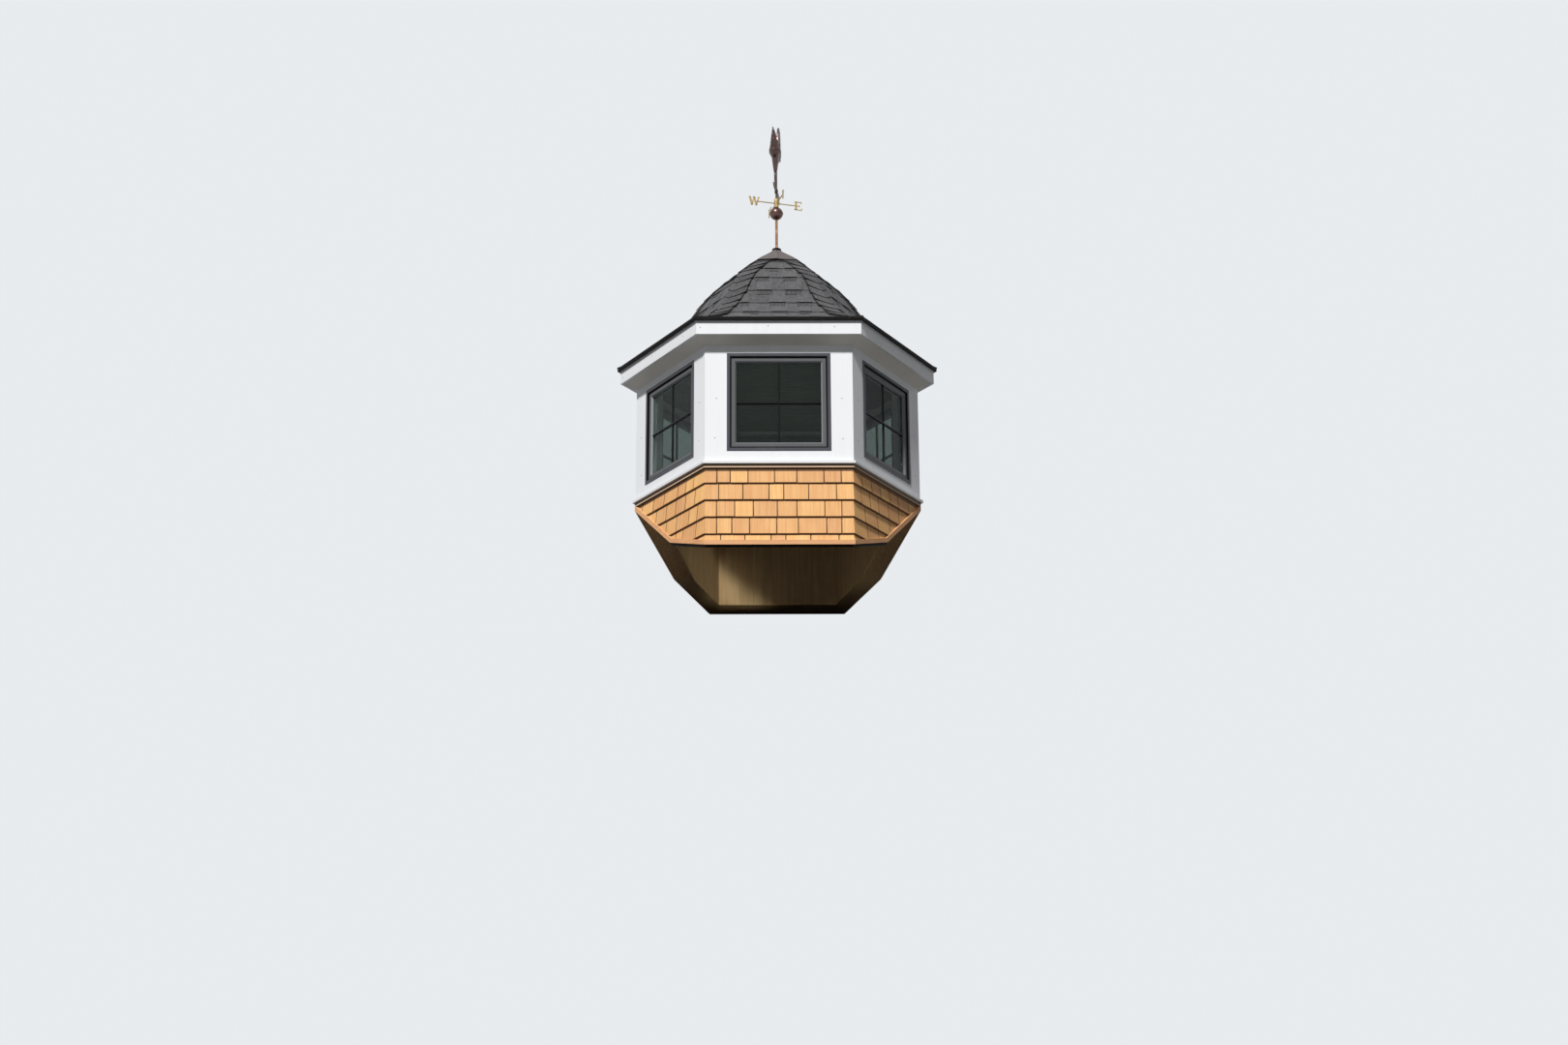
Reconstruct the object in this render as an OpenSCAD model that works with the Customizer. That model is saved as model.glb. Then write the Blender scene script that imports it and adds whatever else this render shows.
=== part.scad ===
// Six-sided garage cupola: a cedar-shingled base that straddles a ridge, a white window
// lantern, a bell-cast shingled roof and a weathercock.
// Millimetres, +Z up. The origin is on the vertical axis, level with the lowest edge of the base.
// The ridge runs along X. Two walls face straight along Y, and the front is -Y.

/* [Lantern] */
// Width of the lantern across two opposite walls
lantern_w = 1829; // [1600:1:2300]
// Height of the window walls, from the base to the soffit
wall_h = 894; // [850:1:1200]
// Thickness of the window walls
wall_t = 140; // [100:1:170]

/* [Base] */
// Height of the base, from its lowest edge to the window walls
base_h = 610; // [570:1:800]
// Height of the ridge that the base straddles, above the base's lowest edge
ridge_h = 524; // [420:1:550]
// Pitch of the roof each side of the ridge, in degrees
ridge_pitch = 39; // [34:1:45]
// Pitch of the shallower roofs that the front and back walls stand on, in degrees
dormer_pitch = 18.4; // [12:0.1:22]
// Depth of the shingling on the base at a shingle's butt
shingle_build = 19.5; // [16:0.5:30]
// Step from one shingle course down to the next
shingle_butt = 9; // [4:0.5:14]
// Height of a full shingle course
shingle_exposure = 125; // [90:1:180]
// Height of the top shingle course
top_course_h = 111; // [60:1:180]
// Height of the cedar strip above the shingles
head_strip_h = 27; // [15:1:50]
// Height of the cedar strip below the shingles, square to the roof
foot_strip_h = 31; // [20:1:60]
// How far both cedar strips stand out from the boarding
strip_t = 23; // [20:1:40]
// Height of flashing left bare below the foot strip, square to the roof
flashing_show = 21; // [10:1:50]
// Thickness of the flashing
flashing_t = 3; // [2:0.5:6]

/* [Drip moulding] */
// How far the moulding stands out from the window walls
drip_out = 20; // [12:1:40]
// Height of the moulding
drip_h = 24; // [16:1:60]
// Fall of the moulding's top
drip_fall = 5; // [2:1:10]

/* [Windows] */
// Width of a window frame
window_w = 740; // [500:1:760]
// Height of a window frame
window_h = 737; // [500:1:745]
// Height of a window frame above the foot of its wall
window_foot = 98; // [40:1:110]
// Depth of the frame into the wall
frame_depth = 62; // [50:1:90]
// How far the frame stands out from the wall
frame_proud = 4; // [1:0.5:10]
// Width of the outer frame's face
frame_face = 26; // [18:1:40]
// Width of the groove between frame and sash
sash_groove = 3; // [2:0.5:6]
// Width of the sash, from the groove to the glass
sash_face = 38; // [26:1:60]
// How far the sash is set back from the wall face
sash_back = 8; // [4:1:14]
// Width of the sloped bead against the glass
bead_w = 9; // [5:1:14]
// Depth of the sloped bead
bead_depth = 14; // [6:1:18]
// Thickness of the glass
glass_t = 6; // [4:1:12]
// How far the glass reaches into the sash
glass_bite = 7; // [4:1:12]

/* [Ceiling] */
// Height of the ceiling above the foot of the window walls
ceiling_up = 862; // [845:1:880]
// Thickness of the ceiling boards
ceiling_t = 14; // [10:1:30]

/* [Eaves] */
// How far the fascia stands out from the window walls
overhang = 107.5; // [80:0.5:200]
// Rise of the sloped soffit, from the wall to the fascia
soffit_rise = 52; // [20:1:80]
// Thickness of the soffit boards
soffit_t = 12; // [8:1:25]
// How far the fascia hangs below the soffit
fascia_drop = 4; // [2:1:20]
// Thickness of the fascia
fascia_t = 19; // [12:1:30]
// Height of the fascia
fascia_h = 100; // [60:1:140]
// How far the roof's edge stands out from the fascia
roof_lip = 25; // [15:1:60]
// Height of the metal drip edge
drip_edge_h = 16; // [16:1:40]
// Thickness of the metal drip edge
drip_edge_t = 3; // [2:0.5:6]
// How far the shingles reach past the drip edge
shingle_overhang = 4; // [2:1:15]

/* [Roof] */
// Radius of the hip line at the waist of the bell
waist_r = 640; // [560:1:700]
// Rise of the waist above the roof's edge
waist_up = 426; // [400:1:560]
// Radius of the hip line at the shoulder of the bell
shoulder_r = 440; // [400:1:500]
// Rise of the shoulder above the roof's edge
shoulder_up = 654; // [640:1:800]
// Radius of the hip line where the peak cap takes over
crown_r = 110; // [90:1:140]
// Rise of the crown above the roof's edge
crown_up = 884; // [860:1:1100]
// Thickness of the roof boarding
deck_t = 12; // [9:1:13]
// Thickness of the roof shingles at a butt
roof_shingle_t = 8; // [6:1:14]
// Thickness of the roof shingles at the head of a course
roof_shingle_head = 4; // [2:0.5:5]
// Height of a roof shingle course, along the slope
roof_exposure = 161; // [120:1:200]
// Thickness of a hip cap at its butt
cap_t = 8; // [6:1:14]
// Thickness of a hip cap at its head
cap_head = 3; // [2:0.5:5]
// Width of a hip cap each side of the hip
cap_w = 108; // [80:1:180]
// Length of hip that each cap leaves showing
cap_exposure = 143; // [110:1:180]

/* [Peak] */
// Radius of the peak cap's lower corners
peak_r = 275; // [180:5:330]
// Radius of the peak cap's top
peak_top_r = 37; // [28:1:45]
// Height of the peak cap above the crown
peak_h = 65; // [50:1:120]
// Thickness of the peak cap
peak_t = 7; // [4:1:12]
// Radius of the pole collar
collar_r = 35; // [20:1:37]
// Height of the pole collar
collar_h = 22; // [15:1:40]

/* [Pole] */
// Diameter of the pole
pole_d = 20; // [16:1:26]
// Diameter of the spindle that the vane turns on
spindle_d = 8; // [6:1:14]
// Length of pole below the collar, inside the roof
pole_root = 60; // [30:1:120]
// Height of the ball's centre above the collar
ball_up = 296; // [120:1:400]
// Diameter of the copper ball
ball_d = 100; // [70:1:130]
// Thickness of the ball's copper
ball_wall = 2; // [1:0.5:4]
// Width of the seam around the ball
seam_h = 7; // [4:1:12]
// Height of the compass arms above the ball's centre
arms_up = 87; // [75:1:120]
// Clearance around the pole in everything that it passes through
pole_fit = 0.3; // [0.2:0.1:0.6]

/* [Compass] */
// Reach of each compass arm from the axis
arm_reach = 158; // [120:1:220]
// Diameter of a compass arm
arm_d = 8; // [6:1:10]
// Height of the compass hub
hub_h = 68; // [20:1:90]
// Diameter of the compass hub
hub_d = 36; // [30:1:44]
// Turn of the compass arms about the pole, in degrees
compass_turn = 16; // [0:1:45]

/* [Weathercock] */
// Direction that the weathercock faces at rest, in degrees from +X
vane_heading = -98.3; // [-180:0.1:180]
// Gap between the compass hub and the vane's sleeve
sleeve_gap = 6; // [5:0.5:12]
// Outer diameter of the sleeve
sleeve_d = 15; // [13:0.5:24]
// Clearance between spindle and sleeve, on each side
spindle_fit = 0.4; // [0.3:0.1:1]
// Height of the sleeve
sleeve_h = 275; // [240:1:330]
// Height of the arrow above the sleeve's foot
arrow_up = 61; // [50:1:140]
// Diameter of the arrow's shaft
arrow_d = 10; // [8:1:16]
// Reach of the arrow's point from the axis
arrow_fore = 175; // [140:1:320]
// Reach of the arrow's feathers from the axis
arrow_aft = 178; // [140:1:320]
// Width of the weathercock's body
cock_w = 82; // [60:1:110]
// Height of its tail above the sleeve's top
tail_up = 399; // [300:1:420]
// Thickness of its tail and comb
tail_t = 12; // [8:1:18]

/* [Hidden] */
FACES = ["back_right", "back", "back_left", "front_left", "front", "front_right"];

function named(stem) = [for (f = FACES) str(stem, "_", f)];

$fn = 48;
// Half of the hairline joint between two faces
joint = 0.3;
// How far two leaves of one folded piece run into each other at the fold
lap = 0.02;
// Gap between two layers of the curved roof
layer_fit = 0.4;
// Gap between a piece of glass and its rebate
glass_fit = 0.3;
// Half of the angle that one face spans
half_face = 30;
// Further out and higher than anything in the model
beyond = 6000;

// Walls, from the axis outward
wall_a = lantern_w / 2;
inner_a = wall_a - wall_t;
sheath_a = wall_a - shingle_build;
foot_a = sheath_a + flashing_t;
strip_a = sheath_a + strip_t;
fascia_a = wall_a + overhang;
edge_a = fascia_a + roof_lip;

// Heights
shingle_top = base_h - head_strip_h;
window_z = base_h + window_foot;
ceiling_z = base_h + ceiling_up;
soffit_z = base_h + wall_h;
fascia_z = soffit_z + soffit_rise - fascia_drop;
fascia_top = fascia_z + fascia_h;
cover = cap_t + roof_shingle_t;
edge_z = fascia_top + drip_edge_h + cover;
foot_strip_top = flashing_show + foot_strip_h;

// Bell curve along a hip, as radius and height, in three Bezier stretches
EAVE_TANGENT = [-233, 44];
WAIST_TANGENT = [-120, 208];
WAIST_LEAVING = [-55, 95];
SHOULDER_TANGENT = [-84, 71];
SHOULDER_LEAVING = [-80, 67];
CROWN_TANGENT = [-94, 48];
CURVE_STEPS = 8;

hip_eave = [edge_a / cos(half_face), edge_z];
hip_waist = [waist_r, edge_z + waist_up];
hip_shoulder = [shoulder_r, edge_z + shoulder_up];
hip_crown = [crown_r, edge_z + crown_up];

function bezier(a, b, c, d, t) =
    pow(1 - t, 3) * a + 3 * pow(1 - t, 2) * t * b + 3 * (1 - t) * t * t * c + pow(t, 3) * d;

function stretch(a, leaving, arriving, d, last) = [
    for (i = [0 : CURVE_STEPS - (last ? 0 : 1)])
        bezier(a, a + leaving, d - arriving, d, i / CURVE_STEPS)
];

hip_line = concat(
    stretch(hip_eave, EAVE_TANGENT, WAIST_TANGENT, hip_waist, false),
    stretch(hip_waist, WAIST_LEAVING, SHOULDER_TANGENT, hip_shoulder, false),
    stretch(hip_shoulder, SHOULDER_LEAVING, CROWN_TANGENT, hip_crown, true)
);

// The same curve up the middle of a face, as distance from the axis and height
face_line = [for (p = hip_line) [p.x * cos(half_face), p.y]];
face_run_at = [
    for (i = 0, s = 0; i < len(face_line);
         s = s + (i + 1 < len(face_line) ? norm(face_line[i + 1] - face_line[i]) : 0), i = i + 1) s
];
face_length = face_run_at[len(face_run_at) - 1];

function on_curve(s) = [
    lookup(s, [for (i = [0 : len(face_line) - 1]) [face_run_at[i], face_line[i].x]]),
    lookup(s, [for (i = [0 : len(face_line) - 1]) [face_run_at[i], face_line[i].y]])
];

// Point of the roof at a distance up the slope, at a depth below the caps' outer surface
function roof_point(s, depth) =
    let (low = max(s - 12, 0), high = min(s + 12, face_length))
    let (along = (on_curve(high) - on_curve(low)) / norm(on_curve(high) - on_curve(low)))
    on_curve(s) + depth * [-along.y, along.x];

// Places along the slope that every layer of the roof shares, between a start and an end
PACES_A_COURSE = 4;
function roof_paces(from, to) =
    let (pace = roof_exposure / PACES_A_COURSE)
    let (first = floor(from / pace) + 1)
    let (last = ceil(to / pace) - 1)
    concat([from], [for (k = [first : 1 : last]) k * pace], [to]);

function reversed(list) = [for (i = [len(list) - 1 : -1 : 0]) list[i]];

// One layer of the roof that tapers from its lower edge to its upper edge
function layer(from, to, outer_low, outer_high, inner) =
    let (places = roof_paces(from, to))
    concat(
        [for (s = places)
            roof_point(s, outer_low + (outer_high - outer_low) * (s - from) / (to - from))],
        [for (s = reversed(places)) roof_point(s, inner)]
    );

// Height of the boarding's underside at a distance from the axis
deck_line = [for (s = roof_paces(0, face_length)) roof_point(s, cover + deck_t)];
function deck_under(a) = lookup(a, deck_line);

// Shared ways of building

// Fills one face of the hexagon with a profile drawn as distance out and height
module face_run(i, gap = joint) {
    reach = 2 * edge_a;
    half_width = (reach - 2 * gap) * tan(half_face);
    rotate([0, 0, half_face + 60 * i])
        intersection() {
            rotate([90, 0, 0])
                linear_extrude(height = 2 * reach, center = true)
                    children();
            translate([0, 0, -1])
                linear_extrude(height = beyond)
                    polygon([[2 * gap, 0], [reach, half_width], [reach, -half_width]]);
        }
}

module ring_run(gap = joint) {
    for (i = [0 : 5])
        face_run(i, gap)
            children();
}

// Places children on one wall, with X outward from the wall's face
module on_wall(i) {
    rotate([0, 0, half_face + 60 * i])
        translate([wall_a, 0, 0])
            children();
}

module rect_profile(a0, a1, z0, z1) {
    translate([a0, z0])
        square([a1 - a0, z1 - z0]);
}

// The roof that the base stands on, raised by a distance square to its slopes
module roof_below(raise) {
    m1 = tan(ridge_pitch);
    m2 = tan(dormer_pitch);
    r1 = ridge_h + raise / cos(ridge_pitch);
    r2 = foot_a * m2 + raise / cos(dormer_pitch);
    knee = (r1 - r2) / (m1 - m2);
    reach = 2 * foot_a;
    rotate([90, 0, 90])
        linear_extrude(height = 2 * beyond, center = true)
            polygon([
                [0, r1],
                [knee, r2 - m2 * knee],
                [reach, r2 - m2 * reach],
                [reach, -beyond],
                [-reach, -beyond],
                [-reach, r2 - m2 * reach],
                [-knee, r2 - m2 * knee]
            ]);
}

// Base

module base_wall(i) {
    color("burlywood")
        difference() {
            face_run(i)
                rect_profile(inner_a, sheath_a, 0, base_h);
            roof_below(0);
        }
}

// Saw-toothed face of overlapping courses
module shingle_profile() {
    upper_a = wall_a - shingle_butt;
    first_butt = shingle_top - top_course_h;
    courses = ceil(first_butt / shingle_exposure);
    polygon(concat(
        [[sheath_a, shingle_top], [upper_a, shingle_top]],
        [for (k = [0 : courses], a = [wall_a, upper_a]) [a, first_butt - k * shingle_exposure]],
        [[sheath_a, first_butt - courses * shingle_exposure]]
    ));
}

module shingles(i) {
    color("sandybrown")
        difference() {
            face_run(i)
                shingle_profile();
            roof_below(foot_strip_top);
        }
}

module foot_flashing() {
    color("black")
        intersection() {
            difference() {
                ring_run()
                    rect_profile(sheath_a, foot_a, 0, shingle_top);
                roof_below(0);
            }
            roof_below(foot_strip_top);
        }
}

module foot_strip() {
    color("peru")
        intersection() {
            difference() {
                ring_run()
                    rect_profile(foot_a, strip_a, 0, shingle_top);
                roof_below(flashing_show);
            }
            roof_below(foot_strip_top);
        }
}

module head_strip() {
    color("peru")
        ring_run()
            rect_profile(sheath_a, strip_a, shingle_top, base_h);
}

// Window walls

// Top of a window wall, just under the roof boarding
wall_top = concat(
    [[wall_a, deck_under(wall_a)]],
    [for (p = deck_line) if (p.x < wall_a && p.x > inner_a) p],
    [[inner_a, deck_under(inner_a)]]
);

module window_wall(i) {
    color("white")
        difference() {
            face_run(i)
                polygon(concat(
                    [[inner_a, base_h], [wall_a, base_h]],
                    [for (p = wall_top) p - [0, 2 * layer_fit]]
                ));
            on_wall(i)
                translate([-wall_t - 1, -window_w / 2, window_z])
                    cube([wall_t + 2, window_w, window_h]);
        }
}

module drip_moulding() {
    color("white")
        ring_run()
            polygon([
                [wall_a, base_h],
                [wall_a + drip_out, base_h],
                [wall_a + drip_out, base_h + drip_h - drip_fall],
                [wall_a, base_h + drip_h]
            ]);
}

// Section of frame and sash, as distance in from the window's edge and distance out of the wall
module frame_section() {
    sash_start = frame_face + sash_groove;
    sight = sash_start + sash_face;
    glass_face = -sash_back - bead_depth - glass_fit - 4;
    polygon([
        [0, -frame_depth],
        [0, frame_proud],
        [frame_face, frame_proud],
        [frame_face, -sash_back - 10],
        [sash_start, -sash_back - 10],
        [sash_start, -sash_back],
        [sight - bead_w, -sash_back],
        [sight, -sash_back - bead_depth],
        [sight, glass_face + glass_fit],
        [sight - glass_bite - glass_fit, glass_face + glass_fit],
        [sight - glass_bite - glass_fit, glass_face - glass_t - glass_fit],
        [sight, glass_face - glass_t - glass_fit],
        [sight, -frame_depth]
    ]);
}

// One side of the frame along Y, mitred at both ends, with its outer edge at Z = 0
module frame_side(length) {
    depth = frame_face + sash_groove + sash_face;
    intersection() {
        rotate([90, 0, 0])
            linear_extrude(height = length, center = true)
                mirror([1, -1])
                    frame_section();
        rotate([90, 0, 90])
            linear_extrude(height = 4 * frame_depth, center = true)
                polygon([
                    [-length / 2, 0],
                    [length / 2, 0],
                    [length / 2 - depth, depth],
                    [-length / 2 + depth, depth]
                ]);
    }
}

module window_frame(i) {
    color("#2b2b2f")
        on_wall(i)
            translate([0, 0, window_z + window_h / 2])
                for (turn = [0, 90, 180, 270]) {
                    upright = turn % 180 != 0;
                    rotate([turn, 0, 0])
                        translate([0, 0, upright ? -window_w / 2 : -window_h / 2])
                            frame_side(upright ? window_h : window_w);
                }
}

module window_glass() {
    inset = frame_face + sash_groove + sash_face - glass_bite;
    front = -sash_back - bead_depth - glass_fit - 4;
    color("lightblue", 0.4)
        for (i = [0 : 5])
            on_wall(i)
                translate([front - glass_t, inset - window_w / 2, window_z + inset])
                    cube([glass_t, window_w - 2 * inset, window_h - 2 * inset]);
}

module ceiling() {
    color("tan")
        translate([0, 0, ceiling_z])
            cylinder(r = (inner_a - joint) / cos(half_face), h = ceiling_t, $fn = 6);
}

// Eaves

module soffit() {
    run = fascia_a - fascia_t - wall_a;
    color("white")
        ring_run()
            polygon([
                [wall_a, soffit_z],
                [wall_a + run, soffit_z + soffit_rise],
                [wall_a + run, soffit_z + soffit_rise + soffit_t],
                [wall_a, soffit_z + soffit_t]
            ]);
}

module fascia() {
    color("white")
        ring_run()
            rect_profile(fascia_a - fascia_t, fascia_a, fascia_z, fascia_top);
}

// Bent metal edge: a face below the shingles and a leg back over the fascia
module drip_edge() {
    face_a = edge_a - shingle_overhang;
    back_a = fascia_a - fascia_t;
    color("#1c1c1e")
        ring_run()
            polygon([
                [back_a, fascia_top],
                [face_a, fascia_top],
                [face_a, fascia_top + drip_edge_h - drip_edge_t],
                [face_a - drip_edge_t, fascia_top + drip_edge_h - drip_edge_t],
                [face_a - drip_edge_t, fascia_top + drip_edge_t],
                [back_a, fascia_top + drip_edge_t]
            ]);
}

// Roof

module roof_deck() {
    setback = shingle_overhang + drip_edge_t + 1;
    color("burlywood")
        ring_run()
            polygon(layer(setback, face_length, cover, cover, cover + deck_t));
}

module roof_shingles() {
    courses = floor(face_length / roof_exposure);
    color("#5c5c60")
        ring_run()
            for (k = [0 : courses])
                let (from = k * roof_exposure)
                let (to = min(from + roof_exposure, face_length) - (k < courses ? 2 * joint : 0))
                polygon(layer(from, to, cap_t, cover - roof_shingle_head, cover - layer_fit));
}

// Start and end of a hip cap along the slope
last_cap = floor((face_length - 10) / cap_exposure);
function cap_from(k) = k * cap_exposure;
function cap_to(k) = min(cap_from(k + 1), face_length) - 2 * joint;

// One run of hip caps: two leaves that meet on the hip and stop short of the next run's
module hip_cap_run(j) {
    reach = 2 * edge_a;
    slant = tan(half_face);
    for (side = [-1, 1])
        rotate([0, 0, 60 * j + side * half_face])
            intersection() {
                rotate([90, 0, 0])
                    linear_extrude(height = 2 * reach, center = true)
                        for (k = [0 : last_cap])
                            polygon(layer(
                                cap_from(k),
                                cap_to(k),
                                0,
                                cap_t - cap_head,
                                cap_t - layer_fit
                            ));
                linear_extrude(height = beyond)
                    polygon([
                        [joint / slant - lap, -side * joint],
                        [(cap_w + joint) / slant, -side * joint],
                        [reach, -side * (reach * slant - cap_w)],
                        [reach, -side * (reach + lap) * slant]
                    ]);
            }
}

module hip_caps() {
    color("#4e4e52")
        for (j = [0 : 5])
            hip_cap_run(j);
}

// The peak cap lies on the top hip caps, and rises more steeply from the crown to the collar
peak_from = lookup(
    peak_r * cos(half_face),
    [for (i = [0 : len(face_line) - 1]) [face_line[i].x, face_run_at[i]]]
);
peak_bend = face_length - 12;
peak_top_z = hip_crown.y + peak_h;

module peak_cap() {
    top_a = peak_top_r * cos(half_face);
    hole_a = pole_d / 2 + pole_fit;
    color("#57504c")
        ring_run()
            polygon(concat(
                [for (s = roof_paces(peak_from, peak_bend)) roof_point(s, -layer_fit - peak_t)],
                [
                    [top_a, peak_top_z],
                    [hole_a, peak_top_z],
                    [hole_a, peak_top_z - peak_t],
                    [top_a - peak_t, peak_top_z - peak_t]
                ],
                [for (s = reversed(roof_paces(peak_from, face_length))) roof_point(s, -layer_fit)]
            ));
}

// Pole, ball and compass

collar_z = peak_top_z;
collar_top = collar_z + collar_h;
ball_z = collar_top + ball_up;
arms_z = ball_z + arms_up;
hub_top = arms_z + hub_h / 2;
sleeve_z = hub_top + sleeve_gap;
spindle_top = sleeve_z + sleeve_h - 12;

module pole_collar() {
    flare = 4;
    color("#33302f")
        translate([0, 0, collar_z])
            rotate_extrude()
                polygon([
                    [pole_d / 2 + pole_fit, 0],
                    [collar_r, 0],
                    [collar_r, collar_h - flare],
                    [collar_r - flare, collar_h],
                    [pole_d / 2 + pole_fit, collar_h]
                ]);
}

module vane_pole() {
    tip = spindle_d / 4;
    color("#c58a63")
        rotate_extrude()
            polygon([
                [0, collar_z - pole_root],
                [pole_d / 2, collar_z - pole_root],
                [pole_d / 2, hub_top],
                [spindle_d / 2, hub_top],
                [spindle_d / 2, spindle_top - tip],
                [spindle_d / 2 - tip, spindle_top],
                [0, spindle_top]
            ]);
}

// Two spun halves that meet at a seam
module copper_ball() {
    r = ball_d / 2;
    color("#7a4b35")
        translate([0, 0, ball_z])
            rotate_extrude()
                intersection() {
                    union() {
                        difference() {
                            circle(r = r);
                            circle(r = r - ball_wall);
                        }
                        translate([r - ball_wall, -seam_h / 2])
                            square([2 * ball_wall, seam_h]);
                    }
                    translate([pole_d / 2 + pole_fit, -r])
                        square([2 * r, 2 * r]);
                }
}

module compass_arms() {
    color("#d9a441")
        translate([0, 0, arms_z])
            difference() {
                union() {
                    cylinder(d = hub_d, h = hub_h, center = true);
                    for (k = [0 : 3])
                        rotate([0, 90, compass_turn + 90 * k])
                            cylinder(d = arm_d, h = arm_reach);
                }
                cylinder(d = pole_d + 2 * pole_fit, h = 2 * hub_h, center = true);
            }
}

// Weathercock. It faces +X in its own frame

arrow_z = sleeve_z + arrow_up;
perch_z = arrow_z + arrow_d / 2;
belly_z = sleeve_z + sleeve_h;

module vane_sleeve() {
    bore = spindle_d + 2 * spindle_fit;
    color("#8a5a3c")
        difference() {
            translate([0, 0, sleeve_z])
                cylinder(d = sleeve_d, h = sleeve_h);
            translate([0, 0, sleeve_z - 1])
                cylinder(d = bore, h = spindle_top + spindle_fit + 1 - sleeve_z);
        }
}

module vane_arrow() {
    boss_d = sleeve_d + 12;
    boss_h = 26;
    point_l = 62;
    point_w = 46;
    feather_l = 96;
    feather_w = 66;
    plate_t = 6;
    shaft_l = arrow_aft + arrow_fore - (feather_l + point_l) / 2;
    color("#7a4b35")
        translate([0, 0, arrow_z])
            rotate([0, 0, vane_heading])
                difference() {
                    union() {
                        cylinder(d = boss_d, h = boss_h, center = true);
                        translate([feather_l / 2 - arrow_aft, 0, 0])
                            rotate([0, 90, 0])
                                cylinder(d = arrow_d, h = shaft_l);
                        rotate([90, 0, 0])
                            linear_extrude(height = plate_t, center = true) {
                                polygon([
                                    [arrow_fore, 0],
                                    [arrow_fore - point_l, point_w / 2],
                                    [arrow_fore - point_l * 0.8, 0],
                                    [arrow_fore - point_l, -point_w / 2]
                                ]);
                                polygon([
                                    [feather_l - arrow_aft, 0],
                                    [feather_l * 0.75 - arrow_aft, feather_w / 2],
                                    [-arrow_aft, feather_w / 2],
                                    [feather_l * 0.25 - arrow_aft, 0],
                                    [-arrow_aft, -feather_w / 2],
                                    [feather_l * 0.75 - arrow_aft, -feather_w / 2]
                                ]);
                            }
                    }
                    cylinder(d = sleeve_d + 2 * glass_fit, h = 2 * boss_h, center = true);
                }
}

// A rounded mass of the body, flattened from side to side
module swell(x, z, r) {
    translate([x, 0, z])
        scale([1, cock_w / 2 / BREAST_R, 1])
            sphere(r = r, $fn = 28);
}

BREAST_R = 62;

// One arching tail feather, as a blade along part of an ellipse that starts straight up
function feather(root, reach, sweep, w) =
    let (steps = 14)
    let (at = function (t, side)
        let (h = 90 + sweep * t)
        let (half = side * w / 2 * pow(sin(180 * (0.12 + 0.88 * t)), 0.6))
        root + [(reach.x + half) * sin(h) - reach.x, -(reach.y + half) * cos(h)])
    concat(
        [for (i = [0 : steps]) at(i / steps, 1)],
        [for (i = [steps : -1 : 0]) at(i / steps, -1)]
    );

module tail() {
    root = [-84, 108];
    feather_w = 38;
    feathers = 5;
    rise = tail_up - root.y - feather_w / 2;
    rotate([90, 0, 0])
        linear_extrude(height = tail_t, center = true)
            for (k = [0 : feathers - 1])
                polygon(feather(
                    root,
                    [62 - 5 * k, rise * (1 - 0.19 * k)],
                    175 - 12 * k,
                    feather_w
                ));
}

// Foot plate on the arrow's shaft, and two legs that lean forward to the thighs
module legs() {
    leg_d = 9;
    plate_t = 4;
    foot = [28, perch_z - belly_z];
    knee = [48, -60];
    lean = atan2(knee.x - foot.x, knee.y - foot.y);
    translate([foot.x - 12, -11, foot.y])
        cube([32, 22, plate_t]);
    for (side = [-1, 1])
        translate([foot.x, side * 7, foot.y + plate_t / 2])
            rotate([0, lean, 0])
                cylinder(d = leg_d, h = norm(knee - foot));
}

module weathercock() {
    color("#7a4b35")
        translate([0, 0, belly_z])
            rotate([0, 0, vane_heading]) {
                hull() {
                    swell(66, 98, BREAST_R);
                    swell(-46, 112, 46);
                }
                hull() {
                    swell(82, 122, 50);
                    swell(128, 190, 26);
                }
                hull() {
                    swell(128, 190, 26);
                    swell(150, 222, 19);
                }
                hull() {
                    swell(160, 226, 11);
                    swell(206, 242, 2.5);
                }
                hull() {
                    swell(40, 62, 44);
                    swell(46, -46, 25);
                }
                difference() {
                    hull() {
                        swell(0, 66, 44);
                        swell(0, 12, 20);
                    }
                    translate([0, 0, -60])
                        cylinder(d = 200, h = 60);
                }
                tail();
                legs();
                rotate([90, 0, 0])
                    linear_extrude(height = tail_t / 2, center = true) {
                        for (k = [0 : 4])
                            translate([136 + 9 * k, 240 + 10 * sin(36 + 36 * k)])
                                circle(r = 9, $fn = 20);
                        for (k = [0 : 2])
                            translate([162 - k, 204 - 8 * k])
                                circle(r = 9 - k, $fn = 20);
                    }
            }
}

for (i = [0 : 5]) {
    base_wall(i);
    shingles(i);
    window_wall(i);
    window_frame(i);
}
foot_flashing();
foot_strip();
head_strip();
window_glass();
drip_moulding();
ceiling();
soffit();
fascia();
drip_edge();
roof_deck();
roof_shingles();
hip_caps();
peak_cap();
pole_collar();
vane_pole();
copper_ball();
compass_arms();
vane_sleeve();
vane_arrow();
weathercock();
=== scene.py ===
"""Looks of a six-sided garage cupola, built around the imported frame.

Metres, +Z up, the front is -Y. A place on one of the six faces is given as its distance out
from the axis, its distance along the face and its height.
"""

import logging
import math
import random
from dataclasses import dataclass, field
from enum import Enum
from functools import reduce
from itertools import accumulate
from typing import Sequence

import bmesh
import bpy
from mathutils import Matrix, Vector
from mathutils.bvhtree import BVHTree


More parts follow.
